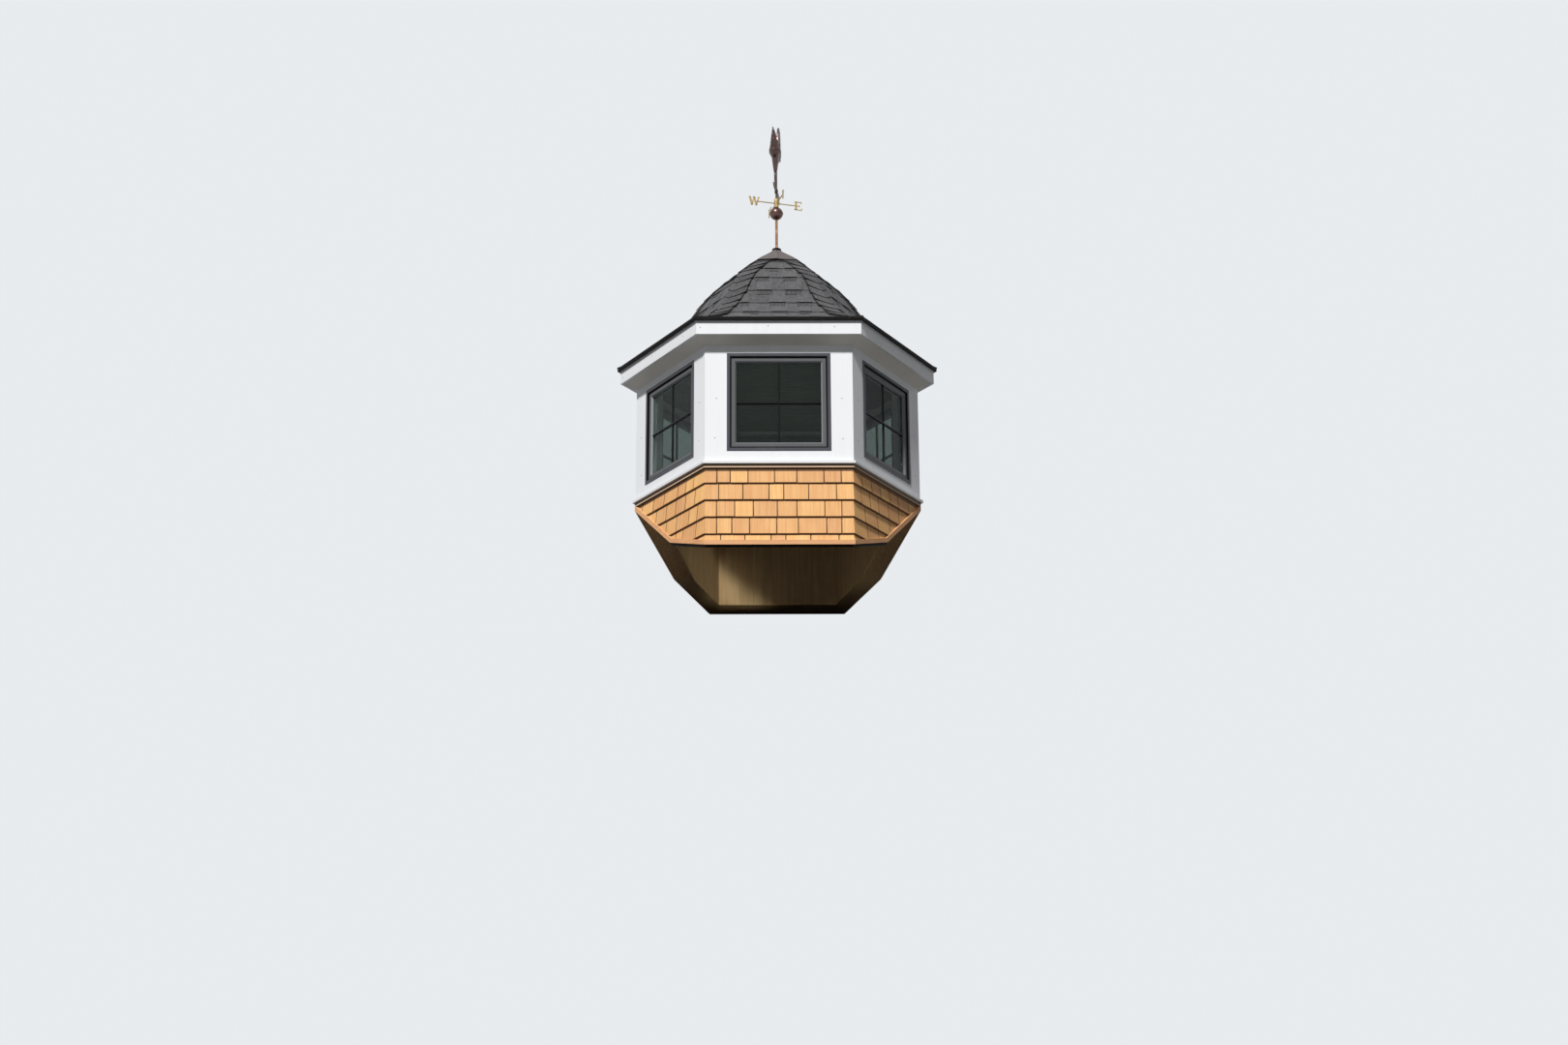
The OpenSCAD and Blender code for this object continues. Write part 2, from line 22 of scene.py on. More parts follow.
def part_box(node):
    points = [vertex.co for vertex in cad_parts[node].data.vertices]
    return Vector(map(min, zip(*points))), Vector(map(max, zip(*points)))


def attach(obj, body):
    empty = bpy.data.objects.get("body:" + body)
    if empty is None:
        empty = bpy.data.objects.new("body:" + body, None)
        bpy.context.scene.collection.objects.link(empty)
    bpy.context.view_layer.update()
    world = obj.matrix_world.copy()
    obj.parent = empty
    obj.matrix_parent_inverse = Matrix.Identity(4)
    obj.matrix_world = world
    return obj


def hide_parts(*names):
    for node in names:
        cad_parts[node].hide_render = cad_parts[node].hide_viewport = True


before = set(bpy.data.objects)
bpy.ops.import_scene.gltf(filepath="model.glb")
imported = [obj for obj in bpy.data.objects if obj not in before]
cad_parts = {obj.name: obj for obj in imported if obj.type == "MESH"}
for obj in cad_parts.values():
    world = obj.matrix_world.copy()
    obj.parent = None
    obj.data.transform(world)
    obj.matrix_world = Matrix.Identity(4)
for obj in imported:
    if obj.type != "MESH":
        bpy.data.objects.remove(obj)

log = logging.getLogger("cupola")

Colour = tuple[float, float, float]
Point = tuple[float, float, float]
Flat = tuple[float, float]
Spot = Sequence[Vector | Point]
Stroke = list[tuple[Flat, Flat]]
Wire = bpy.types.NodeSocket
Value = float | int | bool | str | Sequence[float] | bpy.types.ID | Wire
Inputs = dict[str | int, Value]

HALF_FACE = math.radians(30)
SLANT = math.tan(HALF_FACE)
HAIRLINE = 0.0003
UP = Vector((0.0, 0.0, 1.0))
# How far apart the patterns of neighbouring faces are read
FACE_STEP = 3.7
# Attributes on the pieces' points
TONE = "tone"
CHART = "chart"
# Where a piece is darkened: painted shade on the cedar, and the dark cut edge with painted shade on the
# asphalt
BUTT = "butt"
TURN = "turn"
SIDE = "side"
SIZE = "size"
LIFT = "lift"
LOCAL = "local"


def rgb(red: int, green: int, blue: int) -> Colour:
    """Turns a display colour, of numbers up to 255, into the linear colour for a shader."""
    return tuple((channel / 255) ** 2.2 for channel in (red, green, blue))


def darker(colour: Colour, share: float) -> Colour:
    """Gives a share of a colour."""
    return tuple(channel * share for channel in colour)


def solid(colour: Value) -> Value:
    """Gives a plain colour its fourth channel, and leaves a socket as it is."""
    return (*colour, 1.0) if isinstance(colour, tuple) else colour


def link(name: str, data: bpy.types.ID) -> bpy.types.Object:
    """Makes an object and puts it in the scene.

    Args:
        name: The object's name.
        data: Its mesh, curve, lamp or camera.

    Returns:
        The object.
    """
    made = bpy.data.objects.new(name, data)
    bpy.context.scene.collection.objects.link(made)
    return made


def store(mesh: bpy.types.Mesh, name: str, values: Sequence[float] | Sequence[Point]) -> None:
    """Stores a number or a vector on each of a mesh's points.

    Args:
        mesh: The mesh.
        name: The attribute's name.
        values: What is stored, for each point.
    """
    if isinstance(values[0], float):
        mesh.attributes.new(name, "FLOAT", "POINT").data.foreach_set("value", values)
    else:
        flat = [number for value in values for number in value]
        mesh.attributes.new(name, "FLOAT_VECTOR", "POINT").data.foreach_set("vector", flat)


class Body(Enum):
    """The moving bodies of the frame."""

    CUPOLA = "cupola"
    VANE = "vane"


class Slot(Enum):
    """The record's material slots."""

    SHEATHING = "sheathing"
    CEDAR = "cedar"
    CEDAR_TRIM = "cedar_trim"
    WHITE_TRIM = "white_trim"
    BLACK_FRAME = "black_frame"
    GLASS = "glass"
    CEILING_BOARDS = "ceiling_boards"
    FLASHING = "flashing"
    ASPHALT = "asphalt"
    ASPHALT_BROWN = "asphalt_brown"
    COLLAR = "collar"
    COPPER = "copper"
    AGED_COPPER = "aged_copper"
    BRASS = "brass"


class Face(Enum):
    """A face of the hexagon. The value counts sixths of a turn from +X."""

    BACK_RIGHT = 0
    BACK = 1
    BACK_LEFT = 2
    FRONT_LEFT = 3
    FRONT = 4
    FRONT_RIGHT = 5

    @property
    def label(self) -> str:
        """The face's name as the frame's nodes spell it."""
        return self.name.lower()

    @property
    def angle(self) -> float:
        """The angle from +X to the middle of the face."""
        return HALF_FACE + math.radians(60 * self.value)

    @property
    def after(self) -> "Face":
        """The next face round."""
        return Face((self.value + 1) % 6)

    def place(self, out: float, along: float, up: float) -> Vector:
        """Finds a point from its distance out, its distance along the face and its height."""
        return Matrix.Rotation(self.angle, 3, "Z") @ Vector((out, along, up))


@dataclass(frozen=True)
class Extent:
    """Reach of a frame node: out to the front, in from it, to the right, and in height."""

    out: float
    inner: float
    half: float
    low: float
    high: float

    @classmethod
    def of(cls, node: str) -> "Extent":
        """Reads the reach of a node from its box."""
        low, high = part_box(node)
        return cls(-low.y, -high.y, high.x, low.z, high.z)

    @property
    def middle(self) -> float:
        """The height of its middle."""
        return (self.low + self.high) / 2


@dataclass(frozen=True)
class Plan:
    """Reach of the nodes that the pieces are built to."""

    wall: Extent
    sheath: Extent
    shingles: Extent
    head_strip: Extent
    window: Extent
    glass: Extent
    ceiling: Extent
    fascia: Extent
    drip_edge: Extent
    hip_caps: Extent
    peak: Extent
    compass: Extent
    sleeve: Extent

    @classmethod
    def measure(cls) -> "Plan":
        """Reads every reach from the frame.

        Returns:
            The plan.
        """
        front = ("window_wall_front", "base_wall_front", "shingles_front", "head_strip")
        openings = ("window_frame_front", "window_glass", "ceiling")
        roof = ("fascia", "drip_edge", "hip_caps", "peak_cap")
        top = ("compass_arms", "vane_sleeve")
        return cls(*(Extent.of(node) for node in (*front, *openings, *roof, *top)))


class Socket(Enum):
    """The kinds of socket that the node groups use."""

    NUMBER = "NodeSocketFloat"
    VECTOR = "NodeSocketVector"
    GEOMETRY = "NodeSocketGeometry"
    OBJECT = "NodeSocketObject"
    MATERIAL = "NodeSocketMaterial"


class Graph:
    """A node tree in the making, with short ways to add nodes and join them."""

    def __init__(self, tree: bpy.types.NodeTree) -> None:
        """Starts on the tree of a material, world or group, and empties it."""
        self.tree = tree
        self.tree.nodes.clear()

    def feed(self, socket: Wire, value: Value) -> None:
        """Joins a socket to another socket, or sets its value.

        Args:
            socket: The input.
            value: A socket to join, or a plain value.
        """
        if isinstance(value, Wire):
            self.tree.links.new(value, socket)
        else:
            socket.default_value = value

    def add(self, kind: str, inputs: Inputs | None = None, **settings: object) -> bpy.types.Node:
        """Adds a node.

        Args:
            kind: The node's type name.
            inputs: Values or sockets for its inputs, by name or number.
            settings: The node's own settings.

        Returns:
            The node.
        """
        node = self.tree.nodes.new(kind)
        for name, setting in settings.items():
            setattr(node, name, setting)
        for name, value in (inputs or {}).items():
            self.feed(node.inputs[name], value)
        return node

    def out(self, kind: str, inputs: Inputs | None = None, **settings: object) -> Wire:
        """Adds a node and gives its first output."""
        return self.add(kind, inputs, **settings).outputs[0]

    def math(self, operation: str, *values: Value) -> Wire:
        """Adds a Math node on up to three values and gives its result."""
        return self.out("ShaderNodeMath", dict(enumerate(values)), operation=operation)

    def times(self, *values: Value) -> Wire:
        """Multiplies numbers."""
        return reduce(lambda product, value: self.math("MULTIPLY", product, value), values)

    def split(self, vector: Value) -> tuple[Wire, ...]:
        """Splits a vector into its X, Y and Z sockets."""
        return tuple(self.add("ShaderNodeSeparateXYZ", {0: vector}).outputs)

    def join(self, x: Value, y: Value, z: Value) -> Wire:
        """Joins three values into a vector."""
        return self.out("ShaderNodeCombineXYZ", {0: x, 1: y, 2: z})

    def scale(self, vector: Value, factors: Point) -> Wire:
        """Multiplies a vector by a factor on each axis."""
        return self.out("ShaderNodeVectorMath", {0: vector, 1: factors}, operation="MULTIPLY")

    def shift(self, vector: Value, offset: Value) -> Wire:
        """Adds two vectors."""
        return self.out("ShaderNodeVectorMath", {0: vector, 1: offset})

    def turn(self, vector: Value, angle: Value) -> Wire:
        """Turns a vector about the upright axis."""
        inputs = {"Vector": vector, "Angle": angle}
        return self.out("ShaderNodeVectorRotate", inputs, rotation_type="Z_AXIS")

    def blend(self, share: Value, first: Value, second: Value) -> Wire:
        """Mixes two colours, from the first at 0 to the second at 1."""
        inputs = {0: share, 6: solid(first), 7: solid(second)}
        return self.add("ShaderNodeMix", inputs, data_type="RGBA").outputs[2]

    def lerp(self, share: Value, first: Value, second: Value) -> Wire:
        """Mixes two numbers, from the first at 0 to the second at 1."""
        return self.out("ShaderNodeMix", {0: share, 2: first, 3: second}, data_type="FLOAT")

    def remap(self, value: Value, low: float, high: float) -> Wire:
        """Stretches the range from low to high over 0 to 1 and cuts off the rest."""
        return self.out("ShaderNodeMapRange", {0: value, 1: low, 2: high})

    def noise(
        self, vector: Value, scale: Value, detail: float = 2.0, roughness: float = 0.5
    ) -> Wire:
        """Gives noise from 0 to 1, with scale waves in a metre and finer layers on top."""
        inputs = {"Vector": vector, "Scale": scale, "Detail": detail, "Roughness": roughness}
        return self.add("ShaderNodeTexNoise", inputs).outputs["Fac"]

    def attribute(self, name: str) -> Wire:
        """Reads a number stored on the piece, in a material."""
        return self.add("ShaderNodeAttribute", attribute_name=name).outputs["Fac"]

    def group(self, group: "Group", point: Value, **sizes: Value) -> dict[str, Wire]:
        """Places a shader group that reads a point, and gives its outputs by name."""
        node = self.add("ShaderNodeGroup", {"Point": point, **sizes}, node_tree=group.tree)
        return {socket.name: socket for socket in node.outputs}


class Group(Graph):
    """A node group with named inputs and outputs."""

    kind = "ShaderNodeTree"

    def __init__(
        self, name: str, takes: dict[str, Socket | float], gives: dict[str, Socket]
    ) -> None:
        """Makes the group and its sockets.

        Args:
            name: The group's name.
            takes: The kind of each input, or a number's starting value.
            gives: The kind of each output.
        """
        super().__init__(bpy.data.node_groups.new(name, self.kind))
        sockets = self.tree.interface
        for label, start in takes.items():
            socket = start if isinstance(start, Socket) else Socket.NUMBER
            made = sockets.new_socket(label, in_out="INPUT", socket_type=socket.value)
            if start is not socket:
                made.default_value = start
        for label, socket in gives.items():
            sockets.new_socket(label, in_out="OUTPUT", socket_type=socket.value)
        entry = self.tree.nodes.new("NodeGroupInput")
        self.takes = {socket.name: socket for socket in entry.outputs if socket.name}
        self.exit = self.tree.nodes.new("NodeGroupOutput")

    def give(self, **values: Value) -> None:
        """Joins values to the group's outputs of the same names."""
        for name, value in values.items():
            self.feed(self.exit.inputs[name], value)


class Pattern(Group):
    """A shader group that reads a point and gives numbers."""

    def __init__(self, name: str, *gives: str, **sizes: float) -> None:
        """Makes the group from the names of its outputs and the starting values of its sizes."""
        super().__init__(name, {"Point": Socket.VECTOR, **sizes}, dict.fromkeys(gives, Socket.NUMBER))
        self.point = self.takes["Point"]


class Growth(Group):
    """A geometry group that turns the points of a start mesh into a piece."""

    kind = "GeometryNodeTree"

    def __init__(self, name: str, takes: dict[str, Socket | float]) -> None:
        """Makes the group, with its inputs besides the start mesh and the material."""
        ends = {"Geometry": Socket.GEOMETRY}
        super().__init__(name, {**ends, "Material": Socket.MATERIAL, **takes}, ends)

    def reading(self, name: str, vector: bool = False) -> Wire:
        """Reads a number or vector stored on the points."""
        kind = "FLOAT_VECTOR" if vector else "FLOAT"
        return self.out("GeometryNodeInputNamedAttribute", {0: name}, data_type=kind)

    def keep(self, geometry: Value, name: str, value: Value, vector: bool = True) -> Wire:
        """Stores a number or vector on the points.

        Args:
            geometry: The geometry.
            name: The attribute's name.
            value: What is stored.
            vector: Whether it is a vector.

        Returns:
            The geometry with the attribute.
        """
        inputs = {"Geometry": geometry, "Name": name, "Value": value}
        kind = "FLOAT_VECTOR" if vector else "FLOAT"
        node = "GeometryNodeStoreNamedAttribute"
        return self.out(node, inputs, data_type=kind, domain="POINT")

    def position(self) -> Wire:
        """Reads where the points are."""
        return self.out("GeometryNodeInputPosition")

    def move(self, geometry: Value, position: Value) -> Wire:
        """Sets where the points are."""
        return self.out("GeometryNodeSetPosition", {"Geometry": geometry, "Position": position})

    def real(self, geometry: Value) -> Wire:
        """Makes instances real."""
        return self.out("GeometryNodeRealizeInstances", {0: geometry})

    def scatter(self, shape: Value, inputs: Inputs) -> Wire:
        """Puts a real copy of a shape on every point of the start mesh, turned or sized."""
        inputs = {"Points": self.takes["Geometry"], "Instance": shape, **inputs}
        return self.real(self.out("GeometryNodeInstanceOnPoints", inputs))

    def clothe(self, geometry: Value) -> None:
        """Ends the tree: real instances, and the Material input on all of it."""
        inputs = {"Geometry": self.real(geometry), "Material": self.takes["Material"]}
        self.give(Geometry=self.out("GeometryNodeSetMaterial", inputs))


class Effects:
    """Shader groups that several finishes share. Each is built once."""

    def __init__(self) -> None:
        """Builds the groups."""
        self.run = self.run_coordinates()
        self.timber = self.timber_grain()
        self.weather = self.weathering()
        self.granules = self.mineral_granules()
        self.patina = self.metal_patina()

    @staticmethod
    def run_coordinates() -> Group:
        """Turns each face's points to out, along and up, so that a pattern runs round the hexagon.

        Returns:
            The group.
        """
        name = "Run round the hexagon"
        group = Group(name, {"Point": Socket.VECTOR}, {"Run": Socket.VECTOR})
        x, y, _ = group.split(group.takes["Point"])
        sixth = group.math("DIVIDE", group.math("ARCTAN2", y, x), 2 * HALF_FACE)
        sector = group.math("FLOOR", sixth)
        angle = group.math("MULTIPLY_ADD", sector, -2 * HALF_FACE, -HALF_FACE)
        turned = group.turn(group.takes["Point"], angle)
        aside = group.times(sector, FACE_STEP)
        group.give(Run=group.shift(turned, group.join(0.0, aside, 0.0)))
        return group

    @staticmethod
    def timber_grain() -> Group:
        """Makes grain that runs along the third axis.

        Returns:
            The group.
        """
        group = Pattern("Timber grain", "Figure", "Fibre", Shift=0.0, Bands=60.0)
        shift = group.takes["Shift"]
        moved = group.shift(group.point, group.join(shift, shift, shift))
        sway = group.noise(group.scale(moved, (3.0, 3.0, 2.0)), 1.0, 1.0)
        x, y, z = group.split(moved)
        bent = group.join(group.math("MULTIPLY_ADD", sway, 0.03, x), y, z)
        drawn = group.scale(bent, (1.0, 1.0, 0.035))
        wide = group.noise(drawn, group.takes["Bands"], 3.0, 0.6)
        fibre = group.noise(group.scale(bent, (1.0, 1.0, 0.05)), 420.0, 2.0, 0.7)
        group.give(Figure=group.remap(wide, 0.3, 0.7), Fibre=fibre)
        return group

    @staticmethod
    def weathering() -> Group:
        """Makes broad blotches, and streaks that run down.

        Returns:
            The group.
        """
        group = Pattern("Weather", "Blotch", "Streak", Blotches=5.0)
        blotch = group.noise(group.point, group.takes["Blotches"], 4.0, 0.6)
        streak = group.noise(group.scale(group.point, (1.0, 1.0, 0.06)), 28.0, 3.0, 0.6)
        group.give(Blotch=group.remap(blotch, 0.32, 0.68), Streak=group.remap(streak, 0.45, 0.75))
        return group

    @staticmethod
    def mineral_granules() -> Group:
        """Makes mineral granules, and the uneven blend of their colours.

        Returns:
            The group.
        """
        group = Pattern("Granules", "Fleck", "Blend", Size=0.0025)
        density = group.math("DIVIDE", 1.0, group.takes["Size"])
        cells = group.add("ShaderNodeTexVoronoi", {"Vector": group.point, "Scale": density})
        fleck = group.out("ShaderNodeSeparateColor", {0: cells.outputs["Color"]})
        mix = group.noise(group.point, 75.0, 4.0, 0.75)
        group.give(Fleck=fleck, Blend=group.remap(mix, 0.3, 0.7))
        return group

    @staticmethod
    def metal_patina() -> Group:
        """Makes dull patches and fine wear on metal.

        Returns:
            The group.
        """
        group = Pattern("Patina", "Dull", "Wear", Patches=22.0)
        dull = group.noise(group.point, group.takes["Patches"], 5.0, 0.65)
        wear = group.noise(group.point, 180.0, 3.0, 0.7)
        group.give(Dull=group.remap(dull, 0.35, 0.65), Wear=wear)
        return group


class Reading(Enum):
    """Where a pattern is read on a piece."""

    POINT = "object coordinates"
    RUN = "out, along and up on each face"
    CHART = "the piece's own flat coordinates"


class Surface(Graph):
    """A material in the making, with its shader and the groups that it may place."""

    def __init__(self, material: bpy.types.Material, effects: Effects) -> None:
        """Starts on a material.

        Args:
            material: The material.
            effects: The shared groups.
        """
        material.use_nodes = True
        super().__init__(material.node_tree)
        self.effects = effects
        self.shader = self.add("ShaderNodeBsdfPrincipled")

    def set(self, name: str, value: Value) -> None:
        """Joins or sets one of the shader's inputs."""
        self.feed(self.shader.inputs[name], value)

    def relief(self, height: Value, strength: float, depth: float) -> None:
        """Shades the surface as if it were raised by a height."""
        inputs = {"Height": height, "Strength": strength, "Distance": depth}
        self.set("Normal", self.out("ShaderNodeBump", inputs))

    def end(self, shader: bpy.types.Node) -> None:
        """Joins a shader to the material's output."""
        self.add("ShaderNodeOutputMaterial", {"Surface": shader.outputs[0]})

    def place(self, reading: Reading) -> Wire:
        """Gives the coordinates that a pattern follows.

        Args:
            reading: Which coordinates.

        Returns:
            The coordinates.
        """
        if reading is Reading.CHART:
            return self.add("ShaderNodeAttribute", attribute_name=CHART).outputs["Vector"]
        point = self.add("ShaderNodeTexCoord").outputs["Object"]
        if reading is Reading.RUN:
            return self.group(self.effects.run, point)["Run"]
        return point


@dataclass(frozen=True)
class Finish:
    """A plain finish, and what the richer ones build on."""

    colour: Colour
    roughness: float
    reading: Reading = Reading.POINT

    def dress(self, surface: Surface) -> None:
        """Adds the finish's pattern to its shader. A plain finish has none."""

    def close(self, surface: Surface) -> None:
        """Joins the shader to the material's output."""
        surface.end(surface.shader)

    def material(self, name: str, effects: Effects) -> bpy.types.Material:
        """Makes the finish's material.

        Args:
            name: The material's name.
            effects: The shared groups.

        Returns:
            The material.
        """
        material = bpy.data.materials.new(name)
        surface = Surface(material, effects)
        surface.set("Base Color", solid(self.colour))
        surface.set("Roughness", self.roughness)
        self.dress(surface)
        self.close(surface)
        return material


@dataclass(frozen=True)
class Timber(Finish):
    """Bare or stained timber. Painted shadow lies above one height and below another, where they are
    set.
    """

    deep: Colour = (0.2, 0.1, 0.04)
    figure: float = 0.6
    bands: float = 60.0
    grain_axis: str = "z"
    spread: float = 0.0
    aged: float = 0.22
    # Strength of the painted shadow and painted shade
    stain: float = 0.92
    soiled_above: float = 0.0
    soiled_below: float = 0.0

    def dress(self, surface: Surface) -> None:
        """Adds grain, each board's own tone, weathering, painted shadow bands and painted shade at cut
        ends and other marked places.

        Args:
            surface: The material in the making.
        """
        place = surface.place(self.reading)
        x, y, z = surface.split(place)
        turned = {"z": place, "y": surface.join(x, z, y), "x": surface.join(y, z, x)}
        tone = surface.attribute(TONE)
        sizes = {"Shift": surface.times(tone, 17.0), "Bands": self.bands}
        grain = surface.group(surface.effects.timber, turned[self.grain_axis], **sizes)
        weather = surface.group(surface.effects.weather, place, Blotches=6.0)
        colour = surface.blend(surface.times(grain["Figure"], self.figure), self.colour, self.deep)
        colour = surface.blend(surface.times(weather["Blotch"], self.aged), colour, self.deep)
        value = surface.math("MULTIPLY_ADD", tone, self.spread, 1.0 - self.spread / 2)
        hue = surface.math("MULTIPLY_ADD", tone, 0.012, 0.494)
        inputs = {"Hue": hue, "Value": value, "Color": colour}
        colour = surface.out("ShaderNodeHueSaturation", inputs)
        # Painted shadow: darker above one height and below another, where the strip lies in shade
        if self.soiled_above:
            above = surface.remap(z, self.soiled_above, self.soiled_above + 0.002)
            soiled = surface.math("MAXIMUM", above, surface.math("LESS_THAN", z, self.soiled_below))
            share = surface.times(soiled, self.stain)
            colour = surface.blend(share, colour, darker(self.deep, 0.1))
        # Painted shade where the piece marks it: the shingles' cut ends, the band under the course above
        # and the keyway sides
        end = surface.times(surface.attribute(BUTT), self.stain)
        surface.set("Base Color", surface.blend(end, colour, darker(self.deep, 0.2)))
        height = surface.math("MULTIPLY_ADD", grain["Figure"], 0.5, grain["Fibre"])
        surface.relief(height, 0.35, 0.0008)


@dataclass(frozen=True)
class Paint(Finish):
    """Brushed or sprayed paint, with a little dirt, and painted shade on its inner side, closer in than
    its depth.
    """

    dirt: Colour = (0.25, 0.24, 0.22)
    grime: float = 0.08
    gloss: float = 0.5
    lining: Colour | None = None
    lining_depth: float = 0.0

    def dress(self, surface: Surface) -> None:
        """Adds faint dirt, streaks and brush marks, and the painted shade of the inner side.

        Args:
            surface: The material in the making.
        """
        surface.set("Specular IOR Level", self.gloss)
        place = surface.place(self.reading)
        weather = surface.group(surface.effects.weather, place, Blotches=3.0)
        share = surface.times(weather["Streak"], weather["Blotch"], self.grime)
        surface.set("Base Color", surface.blend(share, self.coat(surface, place), self.dirt))
        rough = surface.math("MULTIPLY_ADD", weather["Blotch"], 0.12, self.roughness - 0.06)
        surface.set("Roughness", rough)
        marks = surface.noise(surface.scale(place, (1.0, 0.05, 1.0)), 260.0, 2.0)
        surface.relief(marks, 0.12, 0.0005)

    def coat(self, surface: Surface, place: Value) -> Value:
        """Gives the colour of the clean paint, with painted shade on the inner side where it has one.

        Args:
            surface: The material in the making.
            place: The coordinates that it follows.

        Returns:
            The colour.
        """
        if not self.lining:
            return self.colour
        # Painted shade: closer in than the depth, the colour of the shade that falls there
        inside = surface.math("LESS_THAN", surface.split(place)[0], self.lining_depth)
        return surface.blend(inside, self.colour, self.lining)


@dataclass(frozen=True)
class WindowCoat(Paint):
    """Factory coating of a window. Its bands are the gasket, near black as painted shade of the sash,
    the sash and the pale spacer.

    Each band starts at a distance in from the frame's outer edge.
    """

    half_size: Flat = (0.3, 0.3)
    middle: float = 0.0
    starts: tuple[float, ...] = (0.0205, 0.034, 0.0585)
    bands: tuple[Colour, ...] = ()

    def coat(self, surface: Surface, place: Value) -> Value:
        """Gives the colour of the frame and its bands, from outside in.

        Args:
            surface: The material in the making.
            place: The coordinates that it follows.

        Returns:
            The colour.
        """
        _, along, up = surface.split(place)
        across = surface.math("WRAP", along, FACE_STEP / 2, -FACE_STEP / 2)
        spots = zip(self.half_size, (across, surface.math("SUBTRACT", up, self.middle)))
        far = [surface.math("SUBTRACT", half, surface.math("ABSOLUTE", spot)) for half, spot in spots]
        inset = surface.math("MINIMUM", *far)
        colour = self.colour
        for start, band in zip(self.starts, self.bands):
            colour = surface.blend(surface.math("GREATER_THAN", inset, start), colour, band)
        return colour


@dataclass(frozen=True)
class Asphalt(Finish):
    """Mineral-faced asphalt shingle."""

    shade: Colour = (0.04, 0.04, 0.042)
    fleck: Colour = (0.3, 0.3, 0.31)

    def dress(self, surface: Surface) -> None:
        """Adds granules, the colour blend, each piece's own tone and its dark cut edge, partly the
        asphalt's own colour and partly painted shade.

        Args:
            surface: The material in the making.
        """
        place = surface.place(self.reading)
        granules = surface.group(surface.effects.granules, place, Size=0.0028)
        weather = surface.group(surface.effects.weather, place, Blotches=8.0)
        mat = surface.blend(surface.attribute(TONE), self.shade, self.colour)
        bright = surface.remap(granules["Fleck"], 0.72, 0.95)
        for share, colour in (
            (surface.times(granules["Blend"], 0.45), self.shade),
            (surface.times(bright, 0.45), self.fleck),
            (surface.times(weather["Streak"], 0.14), self.fleck),
            # The marked edges: the asphalt's dark cut edge, darkened near black as painted shade
            (surface.times(surface.attribute(BUTT), 0.96), darker(self.shade, 0.12)),
        ):
            mat = surface.blend(share, mat, colour)
        surface.set("Base Color", mat)
        height = surface.math("ADD", granules["Fleck"], granules["Blend"])
        surface.relief(height, 0.5, 0.0012)


@dataclass(frozen=True)
class Metal(Finish):
    """Bare metal with a patina."""

    dull: Colour = (0.1, 0.06, 0.04)
    dulled: float = 0.5
    patches: float = 22.0

    def dress(self, surface: Surface) -> None:
        """Adds dull patches, wear and uneven polish.

        Args:
            surface: The material in the making.
        """
        surface.set("Metallic", 1.0)
        place = surface.place(self.reading)
        patina = surface.group(surface.effects.patina, place, Patches=self.patches)
        share = surface.times(patina["Dull"], self.dulled)
        surface.set("Base Color", surface.blend(share, self.colour, self.dull))
        rough = surface.lerp(share, self.roughness, min(self.roughness + 0.3, 0.8))
        surface.set("Roughness", surface.math("MULTIPLY_ADD", patina["Wear"], 0.1, rough))
        surface.relief(patina["Wear"], 0.12, 0.0006)


@dataclass(frozen=True)
class Pane(Finish):
    """Tinted window glass that lets the lamps through."""

    index: float = 1.09
    dust: float = 0.035
    clear: Colour = (0.85, 0.9, 0.87)

    def dress(self, surface: Surface) -> None:
        """Makes the shader clear, but for a little dust."""
        surface.set("Transmission Weight", 1.0 - self.dust)
        surface.set("IOR", self.index)

    def close(self, surface: Surface) -> None:
        """Lets lamps shine through to the room behind.

        Args:
            surface: The material in the making.
        """
        open_air = surface.out("ShaderNodeBsdfTransparent", {"Color": solid(self.clear)})
        shadow = surface.add("ShaderNodeLightPath").outputs["Is Shadow Ray"]
        inputs = {0: shadow, 1: surface.shader.outputs[0], 2: open_air}
        surface.end(surface.add("ShaderNodeMixShader", inputs))


class Look(Enum):
    """The finishes. Each value is the finish's name and the record's material slot for it."""

    SHEATHING = ("boarding", Slot.SHEATHING)
    CEDAR = ("cedar_shingle", Slot.CEDAR)
    CEDAR_STRIP = ("cedar_strip", Slot.CEDAR_TRIM)
    HEAD_STRIP = ("shaded_cedar_strip", Slot.CEDAR_TRIM)
    WHITE = ("white_paint", Slot.WHITE_TRIM)
    SOFFIT = ("soffit_paint", Slot.WHITE_TRIM)
    MOULDING = ("moulding_paint", Slot.WHITE_TRIM)
    NAIL = ("painted_nail", Slot.WHITE_TRIM)
    BLACK = ("black_coating", Slot.BLACK_FRAME)
    BAR = ("black_bar", Slot.BLACK_FRAME)
    GLASS = ("window_glass", Slot.GLASS)
    CEILING = ("ceiling_stain", Slot.CEILING_BOARDS)
    SHEET_METAL = ("black_sheet_metal", Slot.FLASHING)
    DRIP_EDGE = ("black_drip_edge", Slot.FLASHING)
    ASPHALT = ("charcoal_asphalt", Slot.ASPHALT)
    BROWN_ASPHALT = ("brown_asphalt", Slot.ASPHALT_BROWN)
    COLLAR = ("dark_collar", Slot.COLLAR)
    COPPER = ("bright_copper", Slot.COPPER)
    BALL = ("ball_copper", Slot.AGED_COPPER)
    FIGURE = ("figure_copper", Slot.AGED_COPPER)
    BRASS = ("brass", Slot.BRASS)

    def __init__(self, label: str, slot: Slot) -> None:
        """Takes a value apart."""
        self.label = label
        self.slot = slot


